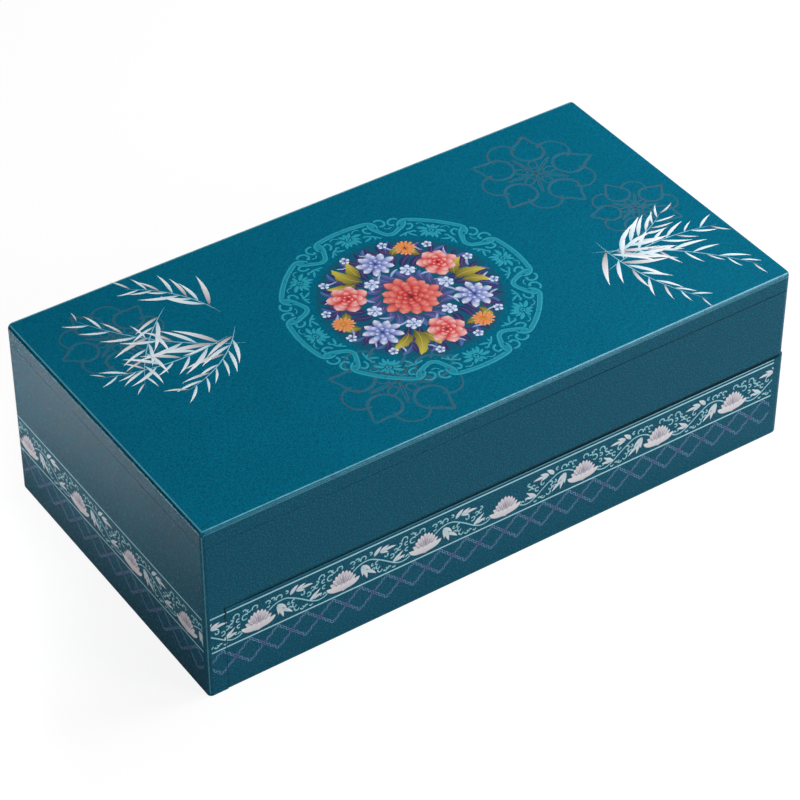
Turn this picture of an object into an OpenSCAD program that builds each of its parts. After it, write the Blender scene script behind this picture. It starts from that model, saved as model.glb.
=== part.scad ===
// Puzzle box: a lacquered board box with a lid and a hidden drawer that pulls out to the right.
// Millimetres. X runs to the right, Y to the back, Z up. The origin is the middle of the base.

/* [Box] */
// overall width, left end to the drawer's right end
box_w = 300; // [260:1:380]
// overall depth, front to back
box_d = 160; // [130:1:220]
// overall height
box_h = 90; // [84:1:130]
// plan radius of the front right and back left corners
corner_r = 3.5; // [2.5:0.5:6]
// plan radius of the front left and back right corners
corner_tight_r = 2; // [1.75:0.25:4]
// round-over along the top edge of the lid
edge_r = 1.5; // [0.5:0.25:1.5]

/* [Boards] */
// thickness of the case's walls and end panels
board_t = 9; // [8:0.5:12]
// thickness of the lid
lid_t = 8.5; // [7:0.5:12]
// thickness of the floor between the compartment and the drawer
floor_t = 5; // [4:0.5:8]
// height of the floor above the lower edge of the case walls
floor_lift = 2; // [1:0.5:5]
// thickness of the base board under the drawer
base_t = 6; // [4:0.5:9]
// depth of the grooves that hold the floors and the base board
groove_d = 3; // [2:0.5:4]
// room for glue round a panel in its groove
glue_gap = 0.1; // [0.05:0.05:0.2]

/* [Drawer] */
// height of the drawer's top edge at its left end
drawer_h = 45; // [36:0.5:50]
// thickness of the drawer's walls
drawer_wall_t = 8; // [7:0.5:10]
// thickness of the drawer's bottom
drawer_floor_t = 4; // [3:0.5:6]
// seam above the drawer at its left end
seam_left = 0.5; // [0.4:0.1:1]
// seam above the drawer at its right end, where it hangs lower
seam_right = 1.1; // [0.6:0.1:2]
// how far the drawer's right end stands out past the case
drawer_proud = 0.8; // [0.2:0.1:2]
// running gap under the drawer and beside the base board
slide_gap = 0.4; // [0.3:0.1:0.8]
// hairline gap between the shut drawer and the left end panel
shut_gap = 0.15; // [0.1:0.05:0.4]
// how far the drawer pulls out
drawer_travel = 200; // [120:5:215]
// gap left at the stop and at the lock pin
stop_gap = 0.6; // [0.4:0.1:1.5]
// length of the stop block along the drawer
stop_l = 12; // [8:1:20]
// length of the stop block across the drawer
stop_w = 40; // [26:1:60]
// how far the stop block hangs below the drawer's top edge
stop_drop = 8; // [5:0.5:12]
// shank radius of the stop's screws
stop_screw_r = 1.5; // [1:0.25:2]
// head radius of the stop's screws
stop_screw_head_r = 2.8; // [2.2:0.2:3.6]
// thread length of the stop's screws in the floor
stop_screw_bite = 4; // [2:0.5:4]

/* [Lid hinges] */
// length of a hinge
hinge_len = 30; // [20:1:44]
// middle of a hinge in from the end of the box
hinge_inset = 60; // [40:1:90]
// hinge axis in from the back face
hinge_setback = 2.6; // [2.4:0.1:3]
// outer radius of the knuckles
knuckle_r = 1.9; // [1.7:0.1:2.1]
// gap between knuckles, and round them
knuckle_gap = 0.3; // [0.25:0.05:0.4]
// length of the middle knuckle
knuckle_mid = 11; // [7:1:14]
// radius of the hinge pin
hinge_pin_r = 0.8; // [0.6:0.05:0.9]
// running clearance of the pin in the lid's knuckle
hinge_run = 0.2; // [0.1:0.05:0.3]
// thickness of a leaf
leaf_t = 1; // [0.8:0.1:1.2]
// leaf edge in from the wall's inner face
leaf_edge = 0.2; // [0.1:0.1:0.5]
// shank radius of the hinge screws
hinge_screw_r = 0.8; // [0.6:0.1:1]
// head radius of the hinge screws
hinge_screw_head_r = 1.3; // [1.2:0.1:1.5]
// length of the hinge screws
hinge_screw_l = 6; // [4:0.5:7]
// distance of a hinge screw from the middle of its hinge
hinge_screw_x = 9.5; // [6:0.5:13]
// seam under the lid
lid_gap = 0.2; // [0.15:0.05:0.6]
// slope of the two bevels at the back, which meet when the lid is open
bevel_angle = 48; // [46:0.5:55]
// bevels cut back from the hinge axis
bevel_gap = 0.15; // [0.1:0.05:0.3]

/* [Lock pin] */
// radius of the pin
lock_pin_r = 3; // [2:0.25:4]
// how far the pin drops
lock_drop = 12; // [8:0.5:14]
// running clearance of the pin in its bush
lock_run = 0.15; // [0.1:0.05:0.3]
// wall of the bush
bush_wall = 1.5; // [1:0.25:2.5]
// flange of the bush beyond its wall
bush_flange = 2; // [1:0.5:3]
// thickness of the flange
bush_flange_t = 1; // [0.8:0.1:1.5]
// radius of the knob
knob_r = 6; // [5:0.5:8]
// height of the knob
knob_h = 7; // [5:0.5:9]
// depth of the pin's seat in the knob
knob_seat = 4; // [3:0.5:5]
// radius of the finger groove round the knob
knob_groove_r = 2; // [1:0.25:2.5]
// depth of the finger groove
knob_groove_d = 1.4; // [0.6:0.2:1.8]
// height of the finger groove's middle above the knob's underside
knob_groove_z = 2.8; // [2:0.2:4]
// radius of the knob's domed top
knob_dome_r = 12; // [9:0.5:20]
// bevel at the tip of the pin
lock_tip_c = 1; // [0.5:0.25:1.5]

/* [Fittings] */
// thickness of the felt linings
felt_t = 2; // [1:0.25:3]
// felt edge in from the walls
felt_gap = 1; // [0.5:0.25:3]
// radius of the lid magnets
magnet_r = 3; // [2:0.5:3.5]
// height of the lid magnets
magnet_h = 3; // [2:0.5:4]
// magnets in from the ends of the box
magnet_inset = 50; // [30:1:100]
// radius of the dowels
dowel_r = 2.5; // [2:0.25:2.5]
// length of the dowels
dowel_l = 22; // [16:1:26]
// depth of a dowel in the board whose face it enters
dowel_face = 5; // [4:0.25:5.5]
// board left between a dowel and the groove or edge next to it
dowel_edge = 3.5; // [2:0.25:5]
// room round dowels, magnets, screws and other glued or driven pieces
fit = 0.05; // [0.02:0.01:0.1]

/* [Hidden] */
$fn = 64;
over = 1;

x_l = -box_w / 2;
x_r = box_w / 2;
x_case = x_r - drawer_proud;
y_f = -box_d / 2;
y_b = box_d / 2;

z_case = drawer_h + seam_left;
z_wall = box_h - lid_t - lid_gap;
z_lid = box_h - lid_t;
z_floor = z_case + floor_lift;
z_tray = z_floor + floor_t;

in_l = x_l + board_t;
in_r = x_case - board_t;
in_f = y_f + board_t;
in_b = y_b - board_t;

dr_l = in_l + shut_gap;
dr_in_l = dr_l + drawer_wall_t;
dr_in_r = x_r - drawer_wall_t;
dr_in_f = y_f + drawer_wall_t;
dr_in_b = y_b - drawer_wall_t;
dr_z = slide_gap;
dr_floor = base_t + slide_gap;
dr_tray = dr_floor + drawer_floor_t;
dr_h_right = z_case - seam_right;

hinge_y = y_b - hinge_setback;
hinge_z = z_wall + lid_gap / 2;
knuckle_clear = knuckle_r + knuckle_gap;
leaf_w = board_t - hinge_setback - knuckle_clear - leaf_edge;
leaf_mid = knuckle_clear + leaf_w / 2;
hinges = [x_l + hinge_inset, x_case - hinge_inset];
mid_half = knuckle_mid / 2;
case_knuckles = [[-hinge_len / 2, -mid_half - knuckle_gap], [mid_half + knuckle_gap, hinge_len / 2]];
lid_knuckles = [[-mid_half, mid_half]];

stop_x = dr_in_l + drawer_travel + stop_gap;
stop_z = drawer_h - stop_drop;
stop_screw_y = stop_w / 4;

lock_x = dr_in_l + stop_gap + lock_pin_r;
bush_in = lock_pin_r + lock_run;
bush_out = bush_in + bush_wall;
flange_r = bush_out + bush_flange;
lock_tip = z_case + glue_gap;
knob_z = z_tray + max(felt_t, bush_flange_t) + lock_drop + stop_gap;

magnets = [x_l + magnet_inset, x_case - magnet_inset];
magnet_y = y_f + board_t / 2;

case_dowel_z = [z_tray + dowel_edge + dowel_r, z_wall - leaf_t - dowel_edge - dowel_r];
drawer_dowel_z = [dr_tray + dowel_edge + dowel_r, dr_h_right - dowel_edge - dowel_r];

lacquer = [0.05, 0.38, 0.48];
bare_board = [0.66, 0.53, 0.38];
felt = [0.36, 0.07, 0.11];
brass = [0.80, 0.63, 0.30];
nickel = [0.72, 0.72, 0.70];
beech = [0.78, 0.62, 0.43];

// a box from its lowest corner to its highest
module block(a, b) {
    translate(a) cube(b - a);
}

// a round bar or bore along X, from x0 to x1
module bar_x(x0, x1, y, z, r) {
    translate([x0, y, z]) rotate([0, 90, 0]) cylinder(r = r, h = x1 - x0);
}

// a round bar or bore along Y, from y0 to y1
module bar_y(y0, y1, x, z, r) {
    translate([x, y0, z]) rotate([-90, 0, 0]) cylinder(r = r, h = y1 - y0);
}

// what a rounded upright corner loses, for a corner at the origin with the board towards +X and +Y
module corner_cut(r, z0, z1) {
    difference() {
        block([-over, -over, z0 - over], [r, r, z1 + over]);
        translate([r, r, z0 - 2 * over]) cylinder(r = r, h = z1 - z0 + 4 * over);
    }
}

// profile of what a round-over removes from an edge
module round_profile() {
    difference() {
        square(edge_r + over);
        circle(r = edge_r);
    }
}

// round-over of a top edge that runs along X from the origin, with the board towards +Y
module edge_cut(len) {
    translate([0, edge_r, -edge_r])
        rotate([90, 0, 90])
            linear_extrude(height = len)
                mirror([1, 0]) round_profile();
}

// round-over of the top edge round a plan corner of radius r
module corner_edge_cut(r) {
    translate([r, r, -edge_r])
        rotate([0, 0, 180])
            rotate_extrude(angle = 90)
                translate([r - edge_r, 0]) round_profile();
}

// countersunk screw, head up, its top at the origin
module wood_screw(r, head_r, len) {
    translate([0, 0, -len]) cylinder(r = r, h = len);
    translate([0, 0, r - head_r]) cylinder(r1 = r, r2 = head_r, h = head_r - r);
}

// dowel bores at the case's four upper corners, shared by the boards that meet there
module case_dowel_set(extra) {
    for (z = case_dowel_z, s = [-1, 1]) {
        y_mid = s * (box_d - board_t) / 2;
        bar_x(in_l - dowel_face - extra, in_l - dowel_face + dowel_l + extra, y_mid, z, dowel_r + extra);
        mirror([0, s < 0 ? 1 : 0, 0])
            bar_y(in_b + dowel_face - dowel_l - extra, in_b + dowel_face + extra,
                x_case - board_t / 2, z, dowel_r + extra);
    }
}

// dowel bores at the drawer's four corners
module drawer_dowel_set(extra) {
    for (z = drawer_dowel_z, x = [dr_l + drawer_wall_t / 2, x_r - drawer_wall_t / 2], s = [-1, 1])
        mirror([0, s < 0 ? 1 : 0, 0])
            bar_y(dr_in_b + dowel_face - dowel_l - extra, dr_in_b + dowel_face + extra,
                x, z, dowel_r + extra);
}

// slot of the compartment floor in the boards round it
module floor_slot() {
    block([in_l - groove_d, in_f - groove_d, z_floor - glue_gap],
        [in_r + groove_d, in_b + groove_d, z_tray + glue_gap]);
}

// slot of the drawer's bottom in the drawer's walls
module drawer_floor_slot() {
    block([dr_l - over, dr_in_f - groove_d, dr_floor - glue_gap],
        [dr_in_r + groove_d, dr_in_b + groove_d, dr_tray + glue_gap]);
}

// leaf of one hinge about its axis: up is 1 for the lid's leaf and -1 for the case's
module hinge_leaf(up, own) {
    z0 = up * (lid_gap / 2 + leaf_t / 2);
    difference() {
        union() {
            translate([0, -leaf_mid, z0]) cube([hinge_len, leaf_w, leaf_t], center = true);
            for (k = own) {
                block([k[0], -leaf_mid, z0 - leaf_t / 2], [k[1], 0, z0 + leaf_t / 2]);
                bar_x(k[0], k[1], 0, 0, knuckle_r);
            }
        }
        bar_x(-hinge_len, hinge_len, 0, 0, hinge_pin_r + (up > 0 ? hinge_run : fit));
        for (x = [-hinge_screw_x, hinge_screw_x])
            translate([x, -leaf_mid, up * lid_gap / 2])
                mirror([0, 0, up > 0 ? 1 : 0])
                    wood_screw(hinge_screw_r + fit, hinge_screw_head_r + fit, hinge_screw_l);
    }
}

// room for one hinge in the board that carries this leaf
module hinge_mortise(up) {
    z0 = up * lid_gap / 2;
    z1 = z0 + up * leaf_t;
    block([-hinge_len / 2 - fit, -knuckle_clear - leaf_w - fit, min(z0 - up * over, z1)],
        [hinge_len / 2 + fit, knuckle_clear, max(z0 - up * over, z1)]);
    bar_x(-hinge_len / 2 - knuckle_gap, hinge_len / 2 + knuckle_gap, 0, 0, knuckle_clear);
    for (x = [-hinge_screw_x, hinge_screw_x])
        translate([x, -leaf_mid, z0])
            mirror([0, 0, up > 0 ? 1 : 0])
                translate([0, 0, -hinge_screw_l - fit])
                    cylinder(r = hinge_screw_r + fit, h = hinge_screw_l);
}

// screws of one leaf
module leaf_screws(up) {
    for (x = [-hinge_screw_x, hinge_screw_x])
        translate([x, -leaf_mid, up * lid_gap / 2])
            mirror([0, 0, up > 0 ? 1 : 0])
                wood_screw(hinge_screw_r, hinge_screw_head_r, hinge_screw_l);
}

// both hinges in place
module at_hinges() {
    for (x = hinges)
        translate([x, hinge_y, hinge_z]) children();
}

// wedge that bevels the back edge of the lid (up is 1) or of the back wall (up is -1)
module bevel_cut(up) {
    reach = 4 * hinge_setback;
    translate([x_l - over, hinge_y, hinge_z])
        mirror([0, 0, up < 0 ? 1 : 0])
            rotate([90, 0, 90])
                linear_extrude(height = box_w + 2 * over)
                    translate([-bevel_gap * sin(bevel_angle), bevel_gap * cos(bevel_angle)])
                        polygon([[0, 0], [reach * cos(bevel_angle), reach * sin(bevel_angle)],
                            [reach, 0], [reach, -over], [0, -over]]);
}

// pockets of the lid magnets, from z0 to z1
module magnet_set(z0, z1, r) {
    for (x = magnets)
        translate([x, magnet_y, z0]) cylinder(r = r, h = z1 - z0);
}

// one long wall of the drawer, inner face down to the groove, top edge falling to the right
module drawer_long_wall(y0, y1) {
    translate([0, y1, 0])
        rotate([90, 0, 0])
            linear_extrude(height = y1 - y0)
                polygon([[dr_l, dr_z], [x_r, dr_z], [x_r, dr_h_right], [dr_l, drawer_h]]);
}

// full-height end board on the left; the walls and the base board are let into it
module left_end_panel() {
    color(lacquer)
        difference() {
            block([x_l, y_f, 0], [in_l, y_b, z_wall]);
            translate([x_l, y_f, 0]) corner_cut(corner_tight_r, 0, z_wall);
            translate([x_l, y_b, 0]) mirror([0, 1, 0]) corner_cut(corner_r, 0, z_wall);
            floor_slot();
            block([in_l - groove_d, dr_in_f + slide_gap - glue_gap, -over],
                [in_l + over, dr_in_b - slide_gap + glue_gap, base_t + glue_gap]);
            bevel_cut(-1);
            case_dowel_set(fit);
        }
}

// end board on the right, over the drawer, between the long walls
module right_end_panel() {
    color(lacquer)
        difference() {
            block([in_r, in_f, z_case], [x_case, in_b, z_wall]);
            floor_slot();
            case_dowel_set(fit);
        }
}

// upper front wall, which carries the magnets that hold the lid shut
module case_front_wall() {
    color(lacquer)
        difference() {
            block([in_l, y_f, z_case], [x_case, in_f, z_wall]);
            translate([x_case, y_f, 0]) mirror([1, 0, 0]) corner_cut(corner_r, z_case, z_wall);
            floor_slot();
            case_dowel_set(fit);
            magnet_set(z_wall - magnet_h - fit, z_wall + over, magnet_r + fit);
        }
}

// upper back wall, which carries the hinges
module case_back_wall() {
    color(lacquer)
        difference() {
            block([in_l, in_b, z_case], [x_case, y_b, z_wall]);
            translate([x_case, y_b, 0]) rotate([0, 0, 180]) corner_cut(corner_tight_r, z_case, z_wall);
            floor_slot();
            case_dowel_set(fit);
            bevel_cut(-1);
            at_hinges() hinge_mortise(-1);
        }
}

// floor of the compartment, in its grooves, with the hole for the lock bush
module compartment_floor() {
    color(bare_board)
        difference() {
            block([in_l - groove_d + glue_gap, in_f - groove_d + glue_gap, z_floor],
                [in_r + groove_d - glue_gap, in_b + groove_d - glue_gap, z_tray]);
            translate([lock_x, 0, z_floor - over]) cylinder(r = bush_out + fit, h = floor_t + 2 * over);
            for (y = [-stop_screw_y, stop_screw_y])
                translate([stop_x + stop_l / 2, y, z_floor - over])
                    cylinder(r = stop_screw_r + fit, h = stop_screw_bite + over + fit);
        }
}

// tongue that the drawer runs on and that keeps the case from tipping, let into the left end board
module base_board() {
    color(bare_board)
        block([in_l - groove_d + glue_gap, dr_in_f + slide_gap, 0],
            [dr_in_r - slide_gap, dr_in_b - slide_gap, base_t]);
}

// felt on the compartment's floor, cut out round the lock bush
module compartment_lining() {
    color(felt)
        difference() {
            block([in_l + felt_gap, in_f + felt_gap, z_tray],
                [in_r - felt_gap, in_b - felt_gap, z_tray + felt_t]);
            translate([lock_x, 0, z_tray - over])
                cylinder(r = flange_r + felt_gap / 2, h = felt_t + 2 * over);
        }
}

// block under the floor that catches the drawer's left end at full travel
module drawer_stop() {
    color(beech)
        difference() {
            block([stop_x, -stop_w / 2, stop_z], [stop_x + stop_l, stop_w / 2, z_floor]);
            for (y = [-stop_screw_y, stop_screw_y])
                translate([stop_x + stop_l / 2, y, stop_z])
                    mirror([0, 0, 1])
                        wood_screw(stop_screw_r + fit, stop_screw_head_r + fit, z_floor - stop_z + over);
        }
}

// two countersunk screws that hold the stop block
module stop_screws() {
    color(nickel)
        for (y = [-stop_screw_y, stop_screw_y])
            translate([stop_x + stop_l / 2, y, stop_z])
                mirror([0, 0, 1])
                    wood_screw(stop_screw_r, stop_screw_head_r, z_floor - stop_z + stop_screw_bite);
}

// fixed leaves of the two lid hinges
module hinge_case_leaves() {
    color(brass) at_hinges() hinge_leaf(-1, case_knuckles);
}

// pins of the two lid hinges
module hinge_pins() {
    color(brass) at_hinges() bar_x(-hinge_len / 2, hinge_len / 2, 0, 0, hinge_pin_r);
}

// screws of the fixed leaves
module hinge_case_screws() {
    color(brass) at_hinges() leaf_screws(-1);
}

// magnets in the front wall
module case_magnets() {
    color(nickel) magnet_set(z_wall - magnet_h, z_wall, magnet_r);
}

// flanged bush that guides the lock pin through the floor
module lock_bush() {
    color(brass)
        translate([lock_x, 0, z_floor])
            rotate_extrude()
                polygon([[bush_in, 0], [bush_out, 0], [bush_out, floor_t], [flange_r, floor_t],
                    [flange_r, floor_t + bush_flange_t], [bush_in, floor_t + bush_flange_t]]);
}

// dowels at the upper corners
module case_dowels() {
    color(beech) case_dowel_set(0);
}

// lid: one board with a rounded top edge, bevelled along the back
module lid_board() {
    color(lacquer)
        difference() {
            block([x_l, y_f, z_lid], [x_case, y_b, box_h]);
            translate([x_l, y_f, 0]) corner_cut(corner_tight_r, z_lid, box_h);
            translate([x_case, y_f, 0]) mirror([1, 0, 0]) corner_cut(corner_r, z_lid, box_h);
            translate([x_l, y_b, 0]) mirror([0, 1, 0]) corner_cut(corner_r, z_lid, box_h);
            translate([x_case, y_b, 0]) rotate([0, 0, 180]) corner_cut(corner_tight_r, z_lid, box_h);
            translate([x_l + corner_tight_r, y_f, box_h])
                edge_cut(x_case - x_l - corner_tight_r - corner_r);
            translate([x_l + corner_r, y_b, box_h])
                mirror([0, 1, 0]) edge_cut(x_case - x_l - corner_tight_r - corner_r);
            translate([x_l, y_b - corner_r, box_h])
                rotate([0, 0, -90]) edge_cut(box_d - corner_tight_r - corner_r);
            translate([x_case, y_f + corner_r, box_h])
                rotate([0, 0, 90]) edge_cut(box_d - corner_tight_r - corner_r);
            translate([x_l, y_f, box_h]) corner_edge_cut(corner_tight_r);
            translate([x_case, y_f, box_h]) mirror([1, 0, 0]) corner_edge_cut(corner_r);
            translate([x_l, y_b, box_h]) mirror([0, 1, 0]) corner_edge_cut(corner_r);
            translate([x_case, y_b, box_h]) rotate([0, 0, 180]) corner_edge_cut(corner_tight_r);
            bevel_cut(1);
            at_hinges() hinge_mortise(1);
            magnet_set(z_lid - over, z_lid + magnet_h + fit, magnet_r + fit);
        }
}

// felt under the lid
module lid_lining() {
    color(felt)
        block([in_l + felt_gap, in_f + felt_gap, z_lid - felt_t],
            [in_r - felt_gap, in_b - felt_gap, z_lid]);
}

// moving leaves of the two lid hinges
module hinge_lid_leaves() {
    color(brass) at_hinges() hinge_leaf(1, lid_knuckles);
}

// screws of the moving leaves
module hinge_lid_screws() {
    color(brass) at_hinges() leaf_screws(1);
}

// magnets in the lid
module lid_magnets() {
    color(nickel) magnet_set(z_lid, z_lid + magnet_h, magnet_r);
}

// lower half of the box's front
module drawer_front_wall() {
    color(lacquer)
        difference() {
            drawer_long_wall(y_f, dr_in_f);
            translate([x_r, y_f, 0]) mirror([1, 0, 0]) corner_cut(corner_r, dr_z, drawer_h);
            drawer_floor_slot();
            drawer_dowel_set(fit);
        }
}

// lower half of the box's back
module drawer_back_wall() {
    color(lacquer)
        difference() {
            drawer_long_wall(dr_in_b, y_b);
            translate([x_r, y_b, 0]) rotate([0, 0, 180]) corner_cut(corner_tight_r, dr_z, drawer_h);
            drawer_floor_slot();
            drawer_dowel_set(fit);
        }
}

// lower half of the box's right end, between the drawer's long walls
module drawer_right_end() {
    color(lacquer)
        difference() {
            block([dr_in_r, dr_in_f, dr_z], [x_r, dr_in_b, dr_h_right]);
            drawer_floor_slot();
            drawer_dowel_set(fit);
        }
}

// inner end of the drawer, which stands on its bottom and clears the base board
module drawer_left_end() {
    color(bare_board)
        difference() {
            block([dr_l, dr_in_f, dr_tray], [dr_in_l, dr_in_b, dr_h_right]);
            drawer_dowel_set(fit);
        }
}

// bottom of the drawer, in grooves on three sides
module drawer_bottom() {
    color(bare_board)
        block([dr_l, dr_in_f - groove_d + glue_gap, dr_floor],
            [dr_in_r + groove_d - glue_gap, dr_in_b + groove_d - glue_gap, dr_tray]);
}

// felt in the drawer
module drawer_lining() {
    color(felt)
        block([dr_in_l + felt_gap, dr_in_f + felt_gap, dr_tray],
            [dr_in_r - felt_gap, dr_in_b - felt_gap, dr_tray + felt_t]);
}

// dowels at the drawer's corners
module drawer_dowels() {
    color(beech) drawer_dowel_set(0);
}

// pin that drops in front of the drawer's left end; here it is raised and the drawer is free
module lock_pin() {
    color(brass)
        translate([lock_x, 0, lock_tip])
            rotate_extrude()
                polygon([[0, 0], [lock_pin_r - lock_tip_c, 0], [lock_pin_r, lock_tip_c],
                    [lock_pin_r, knob_z + knob_seat - lock_tip],
                    [0, knob_z + knob_seat - lock_tip]]);
}

// turned knob on the pin
module lock_knob() {
    color(brass)
        translate([lock_x, 0, knob_z])
            difference() {
                intersection() {
                    cylinder(r = knob_r, h = knob_h);
                    translate([0, 0, knob_h - knob_dome_r]) sphere(r = knob_dome_r);
                }
                rotate_extrude()
                    translate([knob_r + knob_groove_r - knob_groove_d, knob_groove_z])
                        circle(r = knob_groove_r);
                translate([0, 0, -over]) cylinder(r = lock_pin_r + fit, h = knob_seat + over + fit);
            }
}

left_end_panel();
right_end_panel();
case_front_wall();
case_back_wall();
compartment_floor();
base_board();
compartment_lining();
drawer_stop();
stop_screws();
hinge_case_leaves();
hinge_pins();
hinge_case_screws();
case_magnets();
lock_bush();
case_dowels();
lid_board();
lid_lining();
hinge_lid_leaves();
hinge_lid_screws();
lid_magnets();
drawer_front_wall();
drawer_back_wall();
drawer_right_end();
drawer_left_end();
drawer_bottom();
drawer_lining();
drawer_dowels();
lock_pin();
lock_knob();
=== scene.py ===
import bpy
import numpy as np
from math import pi, radians
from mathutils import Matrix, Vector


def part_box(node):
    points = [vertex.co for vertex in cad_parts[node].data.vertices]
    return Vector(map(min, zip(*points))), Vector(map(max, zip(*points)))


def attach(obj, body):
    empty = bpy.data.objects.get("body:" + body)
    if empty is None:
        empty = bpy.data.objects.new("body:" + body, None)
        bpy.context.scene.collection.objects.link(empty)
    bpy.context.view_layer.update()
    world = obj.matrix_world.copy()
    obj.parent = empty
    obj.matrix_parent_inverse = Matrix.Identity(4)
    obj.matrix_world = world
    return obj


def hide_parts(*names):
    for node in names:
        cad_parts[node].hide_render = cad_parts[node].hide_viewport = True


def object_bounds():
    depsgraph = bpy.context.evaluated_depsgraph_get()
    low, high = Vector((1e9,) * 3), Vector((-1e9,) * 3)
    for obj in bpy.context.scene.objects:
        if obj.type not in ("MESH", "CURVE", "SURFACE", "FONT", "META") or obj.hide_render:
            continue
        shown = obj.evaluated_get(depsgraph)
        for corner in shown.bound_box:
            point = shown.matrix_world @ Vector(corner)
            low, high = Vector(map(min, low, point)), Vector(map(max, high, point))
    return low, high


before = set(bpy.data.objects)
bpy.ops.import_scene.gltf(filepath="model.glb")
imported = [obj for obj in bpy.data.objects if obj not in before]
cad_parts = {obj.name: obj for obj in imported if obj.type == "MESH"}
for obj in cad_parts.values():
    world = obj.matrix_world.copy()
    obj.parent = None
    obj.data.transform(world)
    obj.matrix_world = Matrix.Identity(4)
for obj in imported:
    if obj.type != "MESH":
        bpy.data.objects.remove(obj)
cad_low, cad_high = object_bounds()

# Camera: a long lens that stands off the box's left front corner and looks down on the lid,
# so that the lid, the long front and the left end all show.
camera_place = (-0.57325, -0.84347, 0.88665)
camera_turn = radians(-34.1166)
camera_height_angle = radians(39.935)
camera_lens = 135.864
camera = bpy.data.objects.new("camera", bpy.data.cameras.new("camera"))
camera.data.lens = camera_lens
camera.data.sensor_width = 36
camera.data.clip_end = 20
camera.location = camera_place
camera.rotation_euler = (pi / 2 - camera_height_angle, 0, camera_turn)
bpy.context.collection.objects.link(camera)
bpy.context.scene.camera = camera
bpy.context.scene.view_settings.view_transform = "Standard"

# Floor: a wide sheet of white card, flush with the underside of the box. The camera sees it as white with
# the box's soft shadow faint on it, and the box's gloss sees it as the lamps light it, a little lifted.
floor_reach = 4.0
card_to_camera = (0.16, 0.16, 0.16, 1)
card_to_light = (0.36, 0.36, 0.36, 1)
camera_lift = 0.88
gloss_lift = 0.03


def fill(tree, socket, value):
    """Links a socket to another node's output, or sets its plain value."""
    if isinstance(value, bpy.types.NodeSocket):
        tree.links.new(value, socket)
    else:
        socket.default_value = value


def add_node(tree, kind, inputs=None, **settings):
    """Places one shader node, sets its settings, and fills or links each named input."""
    made = tree.nodes.new("ShaderNode" + kind)
    for name, value in settings.items():
        setattr(made, name, value)
    for key, value in (inputs or {}).items():
        fill(tree, made.inputs[key], value)
    return made


def new_tree(name):
    """A material with an empty node tree."""
    made = bpy.data.materials.new(name)
    made.use_nodes = True
    made.node_tree.nodes.clear()
    return made, made.node_tree


floor_mesh = bpy.data.meshes.new("floor")
floor_corners = [(-1, -1), (1, -1), (1, 1), (-1, 1)]
floor_mesh.from_pydata([(x * floor_reach, y * floor_reach, 0) for x, y in floor_corners], [], [(0, 1, 2, 3)])
floor = bpy.data.objects.new("floor", floor_mesh)
bpy.context.collection.objects.link(floor)
card, tree = new_tree("white_card")
ray = add_node(tree, "LightPath")
gloss_ray = add_node(tree, "Math", {0: ray.outputs["Is Glossy Ray"],
                                    1: ray.outputs["Is Transmission Ray"]}, operation="MAXIMUM")
gloss_part = add_node(tree, "Math", {0: gloss_ray.outputs[0], 1: gloss_lift}, operation="MULTIPLY")
lift = add_node(tree, "Math", {0: ray.outputs["Is Camera Ray"], 1: camera_lift, 2: gloss_part.outputs[0]},
                operation="MULTIPLY_ADD")
card_tone = add_node(tree, "MixRGB", {0: ray.outputs["Is Camera Ray"], 1: card_to_light, 2: card_to_camera})
card_shade = add_node(tree, "BsdfDiffuse", {"Color": card_tone.outputs[0]})
card_white = add_node(tree, "Emission", {"Strength": lift.outputs[0]})
card_sum = add_node(tree, "AddShader", {0: card_shade.outputs[0], 1: card_white.outputs[0]})
add_node(tree, "OutputMaterial", {"Surface": card_sum.outputs[0]})
floor_mesh.materials.append(card)

# Studio light: one soft box high on the right, one at the right front that also catches the lid's front
# arris, a weak one at the left front, one that lights the card beyond the left end so that the end shows a
# sheen, and a dim room. Each box has its place, what it points at, its size, its power in watts and the
# spread of its beam.
soft_boxes = {
    "key_soft_box": ((0.68, -0.12, 0.85), (0.0, 0.0, 0.05), 0.6, 10.8, 180),
    "front_soft_box": ((0.58, -0.98, 0.65), (0.0, -0.05, 0.05), 0.5, 6.3, 180),
    "fill_soft_box": ((-0.95, -0.65, 0.60), (0.0, 0.0, 0.05), 0.8, 3.1, 180),
    "left_soft_box": ((-0.37, 0.12, 0.50), (-0.3699, 0.12, 0.0), 0.2, 2.0, 36),
}
room_grey = 0.03


def aim(place, target):
    """Turn of a lamp at place whose beam, its own -Z, points at target."""
    way = np.subtract(place, target)
    across = np.cross((0, 0, 1), way)
    axes = np.array([across, np.cross(way, across), way])
    axes /= np.linalg.norm(axes, axis=1, keepdims=True)
    tilt = np.arccos(axes[2, 2])
    return tilt, 0.0, np.arctan2(axes[0, 1], axes[0, 0])


for name, (place, target, size, power, spread) in soft_boxes.items():
    lamp = bpy.data.objects.new(name, bpy.data.lights.new(name, "AREA"))
    lamp.data.shape = "SQUARE"
    lamp.data.size = size
    lamp.data.energy = power
    lamp.data.spread = radians(spread)
    lamp.location = place
    lamp.rotation_euler = aim(place, target)
    bpy.context.collection.objects.link(lamp)
room = bpy.data.worlds.new("room")
room.use_nodes = True
room.node_tree.nodes["Background"].inputs["Color"].default_value = (room_grey,) * 3 + (1,)
bpy.context.scene.world = room

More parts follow.
